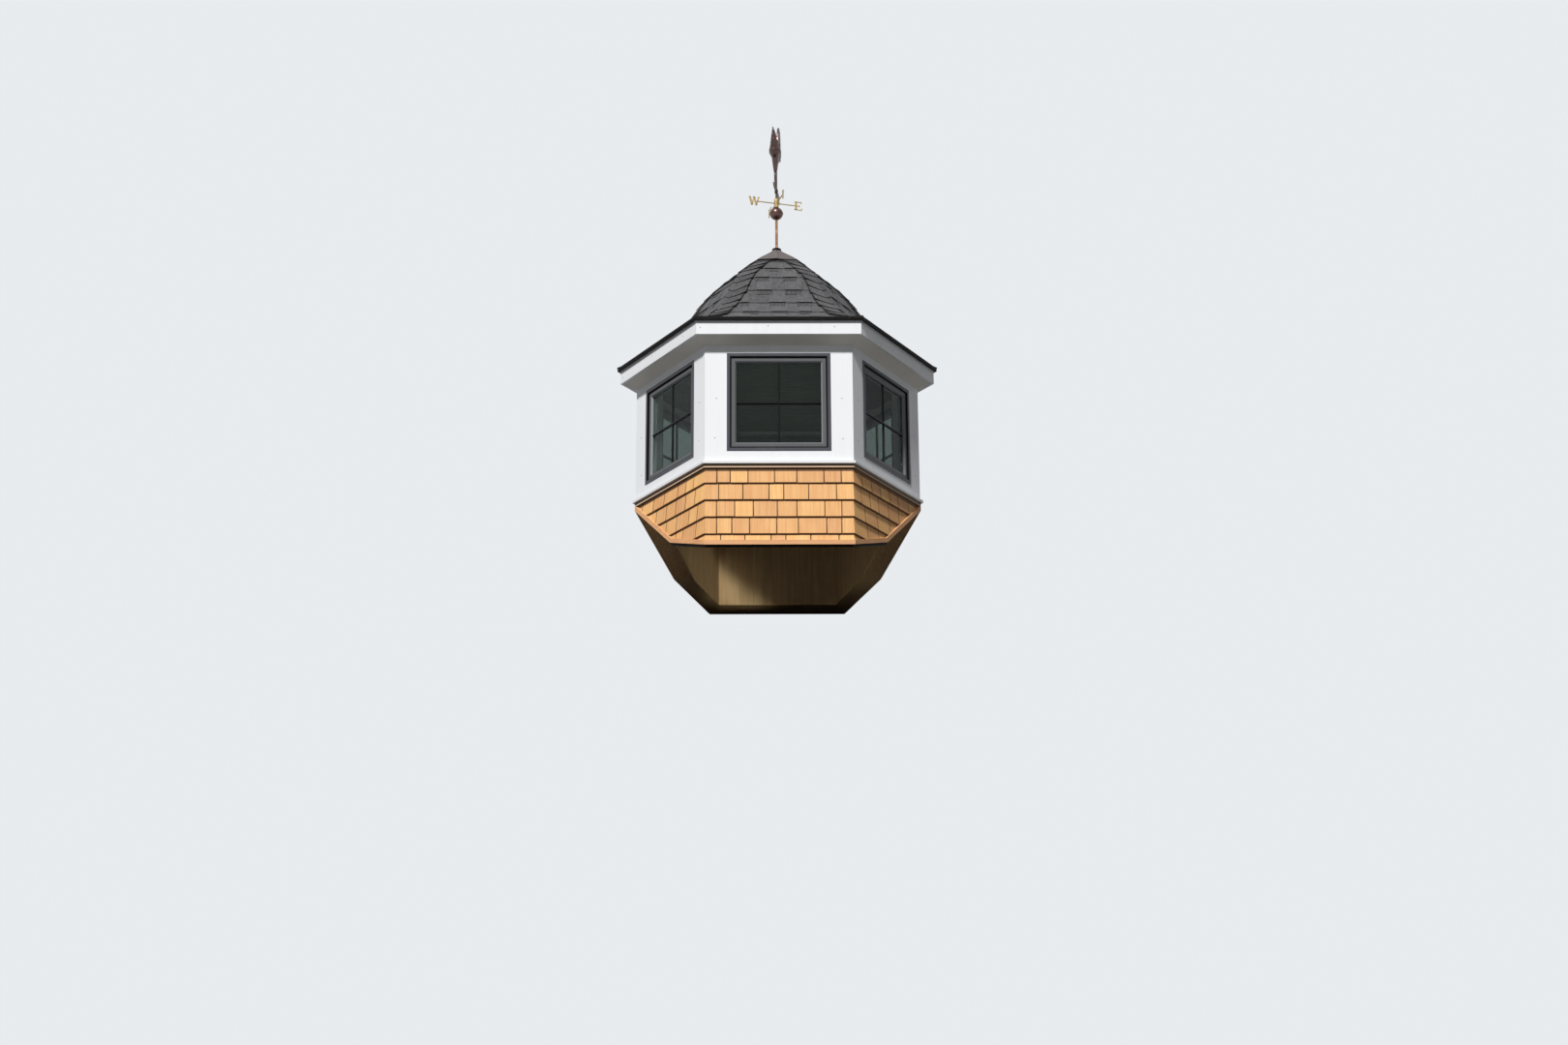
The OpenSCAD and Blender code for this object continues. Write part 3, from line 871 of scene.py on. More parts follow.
def mix_finishes(plan: Plan) -> dict[Look, Finish]:
    """Sets out every finish. The bands of some lie at heights and depths of the frame.

    Args:
        plan: The reach of the frame's nodes.

    Returns:
        The finishes.
    """
    chart, run = Reading.CHART, Reading.RUN
    strip_foot, window = plan.head_strip.low, plan.window
    strip = {"reading": run, "figure": 0.5, "grain_axis": "y"}
    sheet_metal = (rgb(8, 7, 8), 0.65)
    return {
        Look.SHEATHING: Timber(rgb(186, 152, 106), 0.8, deep=rgb(142, 106, 66), spread=0.1),
        Look.CEDAR: Timber(
            rgb(242, 190, 128), 0.72, chart,
            deep=rgb(202, 132, 70), figure=0.5, bands=70.0, spread=0.24,
        ),
        Look.CEDAR_STRIP: Timber(rgb(232, 182, 128), 0.7, deep=rgb(192, 132, 80), **strip),
        # Painted shadow of the drip moulding on the strip's upper part and painted shade on its
        # underside; a thin band near its foot keeps the cedar colour
        Look.HEAD_STRIP: Timber(
            rgb(236, 206, 172), 0.7, deep=rgb(196, 160, 122), **strip,
            soiled_above=strip_foot + 0.007, soiled_below=strip_foot + 0.0006,
        ),
        # Painted shade: the walls' inner side dark brown, for the shade inside the lantern
        Look.WHITE: Paint(
            rgb(236, 237, 239), 0.44, run,
            lining=rgb(96, 84, 72), lining_depth=plan.wall.inner + 0.001,
        ),
        # Painted shade: the soffit a darker, warmer white than the walls, for the shade under the eaves
        Look.SOFFIT: Paint(rgb(214, 210, 202), 0.5, run),
        # Painted shade: the moulding's white a little darker than the walls', against the extra light it
        # catches
        Look.MOULDING: Paint(rgb(228, 229, 231), 0.44, run),
        Look.NAIL: Paint(rgb(112, 108, 112), 0.5),
        Look.BLACK: WindowCoat(
            rgb(77, 78, 85), 0.4, run,
            grime=0.12, dirt=rgb(124, 122, 118), gloss=0.15,
            half_size=(window.half, window.high - window.middle), middle=window.middle,
            # The near-black gasket band is partly painted shade, standing in for the shade beside the
            # sash
            bands=(rgb(6, 6, 7), rgb(94, 95, 97), rgb(140, 143, 146)),
        ),
        # Painted shade: the bars far darker than the frames' coating, as if seen through tinted glass
        Look.BAR: Paint(rgb(18, 19, 21), 0.4, grime=0.1, dirt=rgb(60, 58, 55), gloss=0.12),
        Look.GLASS: Pane((0.3, 0.35, 0.33), 0.0),
        Look.CEILING: Timber(
            rgb(84, 68, 54), 0.6, chart, deep=rgb(48, 38, 30), grain_axis="x", spread=0.3
        ),
        Look.SHEET_METAL: Paint(*sheet_metal, grime=0.03, dirt=rgb(80, 76, 70), gloss=0.1),
        # Painted shade: the edge's underside grey as the shaded top of the fascia beneath it
        Look.DRIP_EDGE: Paint(
            *sheet_metal, run, grime=0.03, gloss=0.1,
            lining=rgb(112, 111, 112), lining_depth=plan.drip_edge.out - 0.013,
        ),
        Look.ASPHALT: Asphalt(rgb(88, 87, 88), 0.92, chart, shade=rgb(52, 51, 52)),
        Look.BROWN_ASPHALT: Asphalt(
            rgb(106, 99, 97), 0.92, chart, shade=rgb(76, 71, 71), fleck=rgb(150, 142, 136)
        ),
        Look.COLLAR: Metal(rgb(42, 36, 38), 0.5, dull=rgb(26, 23, 24)),
        Look.COPPER: Metal(rgb(154, 118, 94), 0.4, dull=rgb(86, 66, 52), dulled=0.7),
        Look.BALL: Metal(rgb(114, 90, 84), 0.2, dull=rgb(56, 46, 44), dulled=0.6),
        Look.FIGURE: Metal(rgb(104, 86, 82), 0.15, dull=rgb(38, 32, 33), dulled=0.5),
        Look.BRASS: Metal(rgb(186, 164, 116), 0.6, dull=rgb(132, 112, 78), dulled=0.6),
    }


class Draft:
    """Collects closed solids for one mesh, each with a tone and flat coordinates."""

    def __init__(self) -> None:
        """Starts empty."""
        self.points: list[Vector] = []
        self.charts: list[Point] = []
        self.tones: list[float] = []
        self.butts: list[float] = []
        self.faces: list[tuple[int, ...]] = []

    def slab(
        self,
        grid: Sequence[Sequence[Spot]],
        tone: float = 0.5,
        dark_rows: Sequence[int] = (),
        dark_columns: Sequence[int] = (),
    ) -> None:
        """Adds a closed slab between two sheets of points.

        Args:
            grid: Rows of spots. Each is a point of the outer sheet, the point of the inner sheet
                under it and, where they aren't the points' own places, the flat coordinates.
            tone: The slab's tone, from 0 to 1.
            dark_rows: The rows that are darkened, on the shingles as painted shade at the cut end and
                under the course above.
            dark_columns: The columns that are darkened, on the shingles as painted shade at a cut side
                in a keyway.
        """
        rows, columns = len(grid), len(grid[0])
        base, under = len(self.points), rows * columns
        for layer in (0, 1):
            for number, row in enumerate(grid):
                for column, spot in enumerate(row):
                    self.points.append(spot[layer])
                    self.charts.append(spot[2] if len(spot) > 2 else spot[layer])
                    self.tones.append(tone)
                    self.butts.append(float(number in dark_rows or column in dark_columns))
        for row in range(rows - 1):
            for first in range(base + row * columns, base + (row + 1) * columns - 1):
                ring = (first, first + 1, first + columns + 1, first + columns)
                self.faces += [ring, tuple(under + corner for corner in reversed(ring))]
        end = base + under
        rim = [*range(base, base + columns), *range(base + 2 * columns - 1, end, columns)]
        rim += [*range(end - 2, end - columns - 1, -1), *range(end - 2 * columns, base, -columns)]
        for first, second in zip(rim, rim[1:] + rim[:1]):
            self.faces.append((second, first, first + under, second + under))

    def block(self, face: Face, out: Flat, along: Flat, up: Flat, bevel: float = 0.0) -> None:
        """Adds a block to a face of the hexagon.

        Args:
            face: The face.
            out: Distance out of its tip and its base.
            along: Its two ends along the face.
            up: Its lower and upper edge.
            bevel: How far its tip is drawn in on every side.
        """
        tip, base = out
        self.slab([
            [
                (face.place(tip, u + inward * bevel, v + upward * bevel), face.place(base, u, v))
                for u, inward in zip(along, (1, -1))
            ]
            for v, upward in zip(up, (1, -1))
        ])

    def tube(self, path: Sequence[Vector], radii: Sequence[float], sides: int) -> None:
        """Adds a closed tube along a path.

        Args:
            path: The points of its middle line.
            radii: Its radius at each point.
            sides: Sides of its section.
        """
        base = len(self.points)
        across = UP
        for step, (point, radius) in enumerate(zip(path, radii)):
            ahead = path[min(step + 1, len(path) - 1)] - path[max(step - 1, 0)]
            if step == 0 and abs(ahead.normalized().dot(across)) > 0.95:
                across = Vector((1.0, 0.0, 0.0))
            across = (across - ahead * (across.dot(ahead) / ahead.length_squared)).normalized()
            beside = ahead.normalized().cross(across)
            for side in range(sides):
                angle = math.tau * side / sides
                self.points.append(
                    point + radius * (math.cos(angle) * across + math.sin(angle) * beside)
                )
        for low in range(base, base + (len(path) - 1) * sides, sides):
            for side in range(sides):
                after, high = (side + 1) % sides, low + sides
                self.faces.append((low + side, low + after, high + after, high + side))
        last = len(self.points) - sides
        self.faces.append(tuple(range(base + sides - 1, base - 1, -1)))
        self.faces.append(tuple(range(last, last + sides)))
        count = len(self.points) - base
        self.charts += self.points[base:]
        self.tones += [0.5] * count
        self.butts += [0.0] * count

    def mesh(self, name: str, smooth: bool) -> bpy.types.Mesh:
        """Makes the mesh, with its faces turned outward.

        Args:
            name: The piece's name.
            smooth: Whether its faces are shaded smooth.

        Returns:
            The mesh.
        """
        mesh = bpy.data.meshes.new(name)
        mesh.from_pydata(self.points, [], self.faces)
        for label, values in ((TONE, self.tones), (BUTT, self.butts), (CHART, self.charts)):
            store(mesh, label, values)
        shape = bmesh.new()
        shape.from_mesh(mesh)
        bmesh.ops.recalc_face_normals(shape, faces=shape.faces)
        for facet in shape.faces:
            facet.smooth = smooth
        shape.to_mesh(mesh)
        shape.free()
        return mesh


class Workshop:
    """Makes finished pieces: it holds the materials and knows how a piece joins the frame."""

    def __init__(self, finishes: dict[Look, Finish]) -> None:
        """Makes the shared groups and every material."""
        effects = Effects()
        self.materials = {look: one.material(look.label, effects) for look, one in finishes.items()}

    def paint(self, look: Look, *names: str) -> None:
        """Gives frame nodes a finish.

        Args:
            look: The finish.
            names: The nodes.
        """
        for name in names:
            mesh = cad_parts[name].data
            mesh.materials.clear()
            mesh.materials.append(self.materials[look])

    def enlist(
        self,
        piece: bpy.types.Object,
        look: Look,
        stands_for: str | None = None,
        body: Body = Body.CUPOLA,
    ) -> None:
        """Joins a finished piece to the frame.

        Args:
            piece: The piece, in place.
            look: Its finish; not used.
            stands_for: The frame node that it is shown instead of.
            body: The body that it moves with.
        """
        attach(piece, body.value)
        if stands_for:
            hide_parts(stands_for)
        log.info("%s: %d faces", piece.name, len(piece.data.polygons))

    def make(
        self,
        name: str,
        draft: Draft,
        look: Look,
        stands_for: str | None = None,
        body: Body = Body.CUPOLA,
        smooth: bool = False,
    ) -> None:
        """Makes a finished piece from a draft.

        Args:
            name: The piece's name.
            draft: Its solids.
            look: Its finish.
            stands_for: The frame node that it is shown instead of.
            body: The body that it moves with.
            smooth: Whether its faces are shaded smooth.
        """
        mesh = draft.mesh(name, smooth)
        mesh.materials.append(self.materials[look])
        self.enlist(link(name, mesh), look, stands_for, body)

    def grow(
        self,
        name: str,
        tree: Growth,
        values: Inputs,
        look: Look,
        points: Sequence[Point],
        marks: dict[str, Sequence[float] | Sequence[Point]],
        stands_for: str | None = None,
    ) -> None:
        """Makes a finished piece by running a geometry tree on loose points.

        Args:
            name: The piece's name.
            tree: The geometry tree.
            values: The tree's inputs, by name.
            look: The finish.
            points: The points that the tree starts from.
            marks: A number or a vector for each point, by attribute name.
            stands_for: The frame node that the piece is shown instead of.
        """
        start = bpy.data.meshes.new(f"{name}_places")
        start.from_pydata(points, [], [])
        for label, items in marks.items():
            store(start, label, items)
        piece = link(name, start)
        modifier = piece.modifiers.new("growth", "NODES")
        modifier.node_group = tree.tree
        values = {**values, "Material": self.materials[look]}
        for item in tree.tree.interface.items_tree:
            if item.in_out == "INPUT" and item.name in values:
                modifier[item.identifier] = values[item.name]
        self.settle(piece)
        self.enlist(piece, look, stands_for)

    @staticmethod
    def settle(piece: bpy.types.Object) -> None:
        """Gives a piece a plain mesh in place of its modifiers.

        Args:
            piece: The piece.
        """
        bpy.context.view_layer.update()
        graph = bpy.context.evaluated_depsgraph_get()
        mesh = bpy.data.meshes.new_from_object(piece.evaluated_get(graph))
        mesh.name = piece.name
        piece.data = mesh
        piece.modifiers.clear()


@dataclass
class Assembly:
    """A sub-assembly, built in the workshop to the plan of the frame."""

    shop: Workshop
    plan: Plan


@dataclass(frozen=True)
class RoofBelow:
    """The slopes that the base stands on: a ridge along X and a shallower roof each side.

    The shallower roof is level with the foot of the base at the side foot's distance.
    """

    ridge_height: float = 0.524
    ridge_pitch: float = math.radians(39)
    side_pitch: float = math.radians(18.4)
    side_foot: float = 0.898

    @property
    def slopes(self) -> tuple[Flat, Flat]:
        """Each roof's height over the middle line, and its pitch."""
        side_height = self.side_foot * math.tan(self.side_pitch)
        return (self.ridge_height, self.ridge_pitch), (side_height, self.side_pitch)

    def height(self, y: float, raised: float) -> float:
        """Finds the roof's height at a distance from the ridge, raised square to its slopes."""
        return max(high + raised / math.cos(p) - abs(y) * math.tan(p) for high, p in self.slopes)

    def clear(self, face: Face, out: float, along: float, top: float, raised: float) -> float:
        """Moves a place on a face away from the ridge until the roof is no higher than a line.

        Args:
            face: The face.
            out: Distance from the axis, square to the face.
            along: The place along the face.
            top: Height of the line.
            raised: Distance above the roof, square to it.

        Returns:
            The place, moved where the roof is higher than the line.
        """
        rise, run = math.sin(face.angle), math.cos(face.angle)
        if face in (Face.FRONT, Face.BACK):
            return along
        reach = max((high + raised / math.cos(p) - top) / math.tan(p) for high, p in self.slopes)
        limit = (reach - out * abs(rise)) / abs(run)
        return max(limit, along) if rise * run > 0 else min(-limit, along)


@dataclass
class CedarBase(Assembly):
    """The shingled base: six faces of separate cedar shingles, two strips and the flashing."""

    roof: RoofBelow = field(default_factory=RoofBelow)
    exposure: float = 0.125
    top_course: float = 0.111
    courses: int = 5
    butt_step: float = 0.013
    # Painted shade on each shingle: its cut end, fading over the first distance, a band under the course
    # above, wider under the head strip and fading over fade, and its cut sides in the keyways
    end_grain: float = 0.003
    soiled: float = 0.009
    soiled_head: float = 0.024
    fade: float = 0.003
    keyway: float = 0.0056
    keyway_shares: Flat = (0.3, 0.65)
    side_stain: float = 0.003
    corner_margin: float = 0.012
    uneven_butt: float = 0.0012
    uneven_face: float = 0.0015
    narrowest: float = 0.085
    widest: float = 0.215
    past_corner: float = 0.02
    tucked: float = 0.034
    least_height: float = 0.002
    seed: int = 11

    # Joints between the front's shingles, from the top course down, from the middle
    FRONT_JOINTS = (
        (-0.438, -0.345, -0.220, -0.033, 0.124, 0.316, 0.437),
        (-0.426, -0.257, -0.071, 0.031, 0.207, 0.402),
        (-0.441, -0.314, -0.183, -0.014, 0.124, 0.319, 0.439),
        (-0.440, -0.334, -0.209, -0.019, 0.133, 0.331, 0.438),
        (-0.412, -0.242, -0.059, 0.044, 0.219, 0.417),
    )

    def build(self) -> None:
        """Builds the six shingled faces and paints the strips, flashing and boarding."""
        for face in Face:
            self.build_face(face)
        self.shop.paint(Look.CEDAR_STRIP, "foot_strip")
        self.shop.paint(Look.HEAD_STRIP, "head_strip")
        self.shop.paint(Look.SHEET_METAL, "foot_flashing")
        self.shop.paint(Look.SHEATHING, *(f"base_wall_{face.label}" for face in Face))

    def build_face(self, face: Face) -> None:
        """Builds a face's shingles in their courses.

        Args:
            face: The face.
        """
        draw = random.Random(self.seed + face.value)
        draft = Draft()
        top = self.plan.shingles.high
        for course in range(self.courses):
            butt = self.plan.shingles.high - self.top_course - course * self.exposure
            edges = self.joints(face, course, draw)
            for left, right in zip(edges, edges[1:]):
                gap = self.keyway * draw.uniform(*self.keyway_shares)
                span = (left + gap, right - gap)
                ends = [face.place(self.plan.wall.out, u, 0).y for u in span]
                roof = min(self.roof.height(y, self.tucked) for y in ends)
                if top > roof + self.least_height:
                    self.add_shingle(draft, face, span, (butt, top), draw)
            top = butt
        name = f"shingles_{face.label}"
        self.shop.make(f"cedar_{name}", draft, Look.CEDAR, name)

    def joints(self, face: Face, course: int, draw: random.Random) -> list[float]:
        """Chooses where the keyways of one course are.

        Args:
            face: The face.
            course: The course, counted from the top.
            draw: The random draws.

        Returns:
            The joints, from end to end.
        """
        half = self.plan.wall.out * SLANT
        if face is Face.FRONT:
            inner = list(self.FRONT_JOINTS[course])
        else:
            inner, place = [], -half + draw.uniform(self.narrowest, self.widest)
            while place < half - self.narrowest:
                inner.append(place)
                place += draw.uniform(self.narrowest, self.widest)
        return [-half - self.past_corner, *inner, half + self.past_corner]

    def add_shingle(
        self, draft: Draft, face: Face, span: Flat, rise: Flat, draw: random.Random
    ) -> None:
        """Adds one shingle, cut to the roof below and mitred at the corners.

        Args:
            draft: The face's mesh in the making.
            face: The face.
            span: The shingle's two edges.
            rise: Height of its butt and of its upper end.
            draw: The random draws.
        """
        butt, top = rise[0] + draw.uniform(-self.uneven_butt, self.uneven_butt), rise[1]
        proud = draw.uniform(-self.uneven_face, 0.0)
        tone = draw.random()
        origin = [draw.uniform(0, 9) for _ in range(3)]
        back = self.plan.sheath.out + HAIRLINE
        width = span[1] - span[0]
        # Painted shade in the keyways spans this share of each cut side
        stain = self.side_stain / width
        across = (0.0, stain, 0.25, 0.5, 0.75, 1.0 - stain, 1.0)
        corner = self.plan.wall.out * SLANT - self.corner_margin
        cut_sides = [column for column, u in zip((0, 6), span) if abs(u) < corner]
        # Painted shade under the course above, wider under the head strip
        soiled = self.soiled_head if top == self.plan.shingles.high else self.soiled
        grid = []
        for height in (butt, butt + self.end_grain, top - soiled - self.fade, top - soiled, top):
            share = (height - butt) / (top - butt)
            front = self.plan.wall.out + proud * (1 - share) - self.butt_step * share
            row = []
            for wide in (span[0] + width * place for place in across):
                spot = []
                for out in (front, back):
                    limit = out * SLANT - HAIRLINE
                    cleared = self.roof.clear(face, out, wide, top, self.tucked)
                    along = max(-limit, min(limit, cleared))
                    line = self.roof.height(face.place(out, along, 0).y, self.tucked)
                    spot.append(face.place(out, along, min(max(height, line), top)))
                row.append((*spot, (origin[0] + wide, origin[1], origin[2] + height)))
            grid.append(row)
        # Rows 0, 3 and 4 and the cut sides carry painted shade: the cut end, the band under the course
        # above and the keyway sides
        draft.slab(grid, tone, (0, 3, 4), cut_sides)


@dataclass
class Lantern(Assembly):
    """The white walls and eaves, the windows with their bars, the nails and the ceiling."""

    sight: float = 0.067
    pane: float = 0.006
    wide_bar: float = 0.016
    thin_bar: float = 0.011
    thin_share: float = 0.85
    bar_depth: float = 0.008
    bar_bevel: float = 0.0025
    board: float = 0.09
    board_gap: float = 0.003
    nail: float = 0.0042
    nail_proud: float = 0.35
    nail_drift: Flat = (0.008, 0.012)
    stile_nail: float = 0.447
    nail_rows: tuple[float, ...] = (0.8, 1.1)
    fascia_nails: tuple[float, ...] = (-0.56, -0.08, 0.4)
    seed: int = 7

    def build(self) -> None:
        """Builds the lantern's pieces and paints its walls, frames and eaves."""
        walls = (f"window_wall_{face.label}" for face in Face)
        self.shop.paint(Look.WHITE, "fascia", *walls)
        self.shop.paint(Look.MOULDING, "drip_moulding")
        self.shop.paint(Look.SOFFIT, "soffit")
        self.shop.paint(Look.BLACK, *(f"window_frame_{face.label}" for face in Face))
        self.shop.paint(Look.GLASS, "window_glass")
        self.build_bars()
        self.build_nails()
        self.build_ceiling()

    def build_bars(self) -> None:
        """Builds the bars on both sides of the glass: one level and one upright."""
        draft = Draft()
        window, outside = self.plan.window, self.plan.glass.out
        half = window.half - self.sight
        bottom, top = window.low + self.sight, window.high - self.sight
        middle = (bottom + top) / 2
        wide, thin = self.wide_bar / 2, self.thin_bar / 2
        bars = (
            (1.0, (-half, half), (middle - wide, middle + wide)),
            (self.thin_share, (-thin, thin), (bottom, top)),
        )
        for face in Face:
            for base, tip in ((outside, self.bar_depth), (outside - self.pane, -self.bar_depth)):
                for share, along, up in bars:
                    draft.block(face, (base + tip * share, base), along, up, self.bar_bevel)
        self.shop.make("window_bars", draft, Look.BAR)

    def build_nails(self) -> None:
        """Builds the heads of the nails in the white boards."""
        sizes = {"Radius": self.nail}
        tree = Growth("Nail heads", sizes)
        radius = tree.takes["Radius"]
        dome = tree.out("GeometryNodeMeshUVSphere", {"Segments": 8, "Rings": 4, "Radius": 1.0})
        size = tree.join(tree.times(radius, self.nail_proud), radius, radius)
        turn = tree.join(0.0, 0.0, tree.reading(TURN))
        heads = tree.scatter(dome, {"Rotation": turn, "Scale": size})
        tree.clothe(tree.out("GeometryNodeSetShadeSmooth", {0: heads}))
        draw = random.Random(self.seed)
        places, turns = [], []
        for face in Face:
            spots = [
                (self.plan.wall.out, side * self.stile_nail, height)
                for side in (-1, 1)
                for height in self.nail_rows
            ]
            fascia = self.plan.fascia
            spots += [(fascia.out, along, fascia.middle) for along in self.fascia_nails]
            for out, *spot in spots:
                moved = [u + draw.uniform(-drift, drift) for u, drift in zip(spot, self.nail_drift)]
                places.append(tuple(face.place(out, *moved)))
                turns.append(face.angle)
        self.shop.grow("nail_heads", tree, sizes, Look.NAIL, places, {TURN: turns})

    def build_ceiling(self) -> None:
        """Builds the ceiling's boards, which run along X."""
        draw = random.Random(self.seed)
        draft = Draft()
        ceiling = self.plan.ceiling
        reach = ceiling.out
        for number in range(math.ceil(2 * reach / self.board)):
            near = max(-reach, -reach + number * self.board + self.board_gap / 2)
            far = min(reach, -reach + (number + 1) * self.board - self.board_gap / 2)
            shift = draw.uniform(0, 9)
            grid = []
            for y in (near, far):
                half = (2 * reach - abs(y)) * SLANT
                ends = [[Vector((x, y, z)) for z in (ceiling.low, ceiling.high)] for x in (-half, half)]
                grid.append([(*pair, (pair[0].x + shift, pair[0].y, shift)) for pair in ends])
            draft.slab(grid, draw.random())
        self.shop.make("ceiling_boards", draft, Look.CEILING, "ceiling")


@dataclass(frozen=True)
class BellCurve:
    """The roof's curve up a hip, as radius and height above the eave, in Bezier stretches."""

    eave_radius: float
    eave_height: float
    knots: tuple[Flat, ...] = ((0.640, 0.426), (0.440, 0.654), (0.110, 0.884))
    leaving: tuple[Flat, ...] = ((-0.233, 0.044), (-0.055, 0.095), (-0.080, 0.067))
    arriving: tuple[Flat, ...] = ((-0.120, 0.208), (-0.084, 0.071), (-0.094, 0.048))
    steps: int = 16

    def face_points(self) -> list[Flat]:
        """Works out the curve up the middle of a face.

        Returns:
            Distance out and height of each point, from the eave to the crown.
        """
        start = Vector((self.eave_radius, self.eave_height))
        lift = Vector((0.0, self.eave_height))
        points = [start]
        for knot, leaving, arriving in zip(self.knots, self.leaving, self.arriving):
            end = Vector(knot) + lift
            pulls = (start, start + Vector(leaving), end - Vector(arriving), end)
            for step in range(1, self.steps + 1):
                t = step / self.steps
                shares = ((1 - t) ** 3, 3 * (1 - t) ** 2 * t, 3 * (1 - t) * t**2, t**3)
                points.append(sum((s * p for s, p in zip(shares, pulls)), Vector((0.0, 0.0))))
            start = end
        return [(p.x * math.cos(HALF_FACE), p.y) for p in points]


class Profile:
    """A line of points up a face that roofing is laid on."""

    def __init__(self, name: str, points: Sequence[Flat]) -> None:
        """Makes the profile and a curve object for the roof tree to read.

        Args:
            name: The curve's name.
            points: Distance out and height of each point, going up.
        """
        self.points = points
        steps = [math.dist(a, b) for a, b in zip(points, points[1:])]
        self.runs = [0.0, *accumulate(steps)]
        self.length = self.runs[-1]
        curve = bpy.data.curves.new(name, "CURVE")
        curve.dimensions = "3D"
        spline = curve.splines.new("POLY")
        spline.points.add(len(points) - 1)
        for point, (out, up) in zip(spline.points, points):
            point.co = (out, 0.0, up, 1.0)
        self.curve = link(name, curve)

    def point(self, run: float) -> Flat:
        """Finds the point at a distance up the profile.

        Args:
            run: The distance.

        Returns:
            Distance out and height.
        """
        for index, reach in enumerate(self.runs[1:]):
            if run <= reach:
                share = (run - self.runs[index]) / (reach - self.runs[index])
                return tuple(Vector(self.points[index]).lerp(Vector(self.points[index + 1]), share))
        return self.points[-1]

    def half_width(self, run: float) -> float:
        """Finds half of a face's width at a distance up the profile."""
        return self.point(run)[0] * SLANT

    def remove(self) -> None:
        """Takes the curve object away again."""
        bpy.data.objects.remove(self.curve)


@dataclass(frozen=True)
class Leaf:
    """A flat piece of roofing before it is laid.

    With side at 0, along counts from the middle of the face to the leaf's near edge. With side
    at 1 or -1, it counts inward from that side's hip.
    """

    face: Face
    butt: float
    width: float
    length: float
    thickness: float
    under: float
    tone: float
    along: float = 0.0
    side: int = 0
    lift: float = 0.0


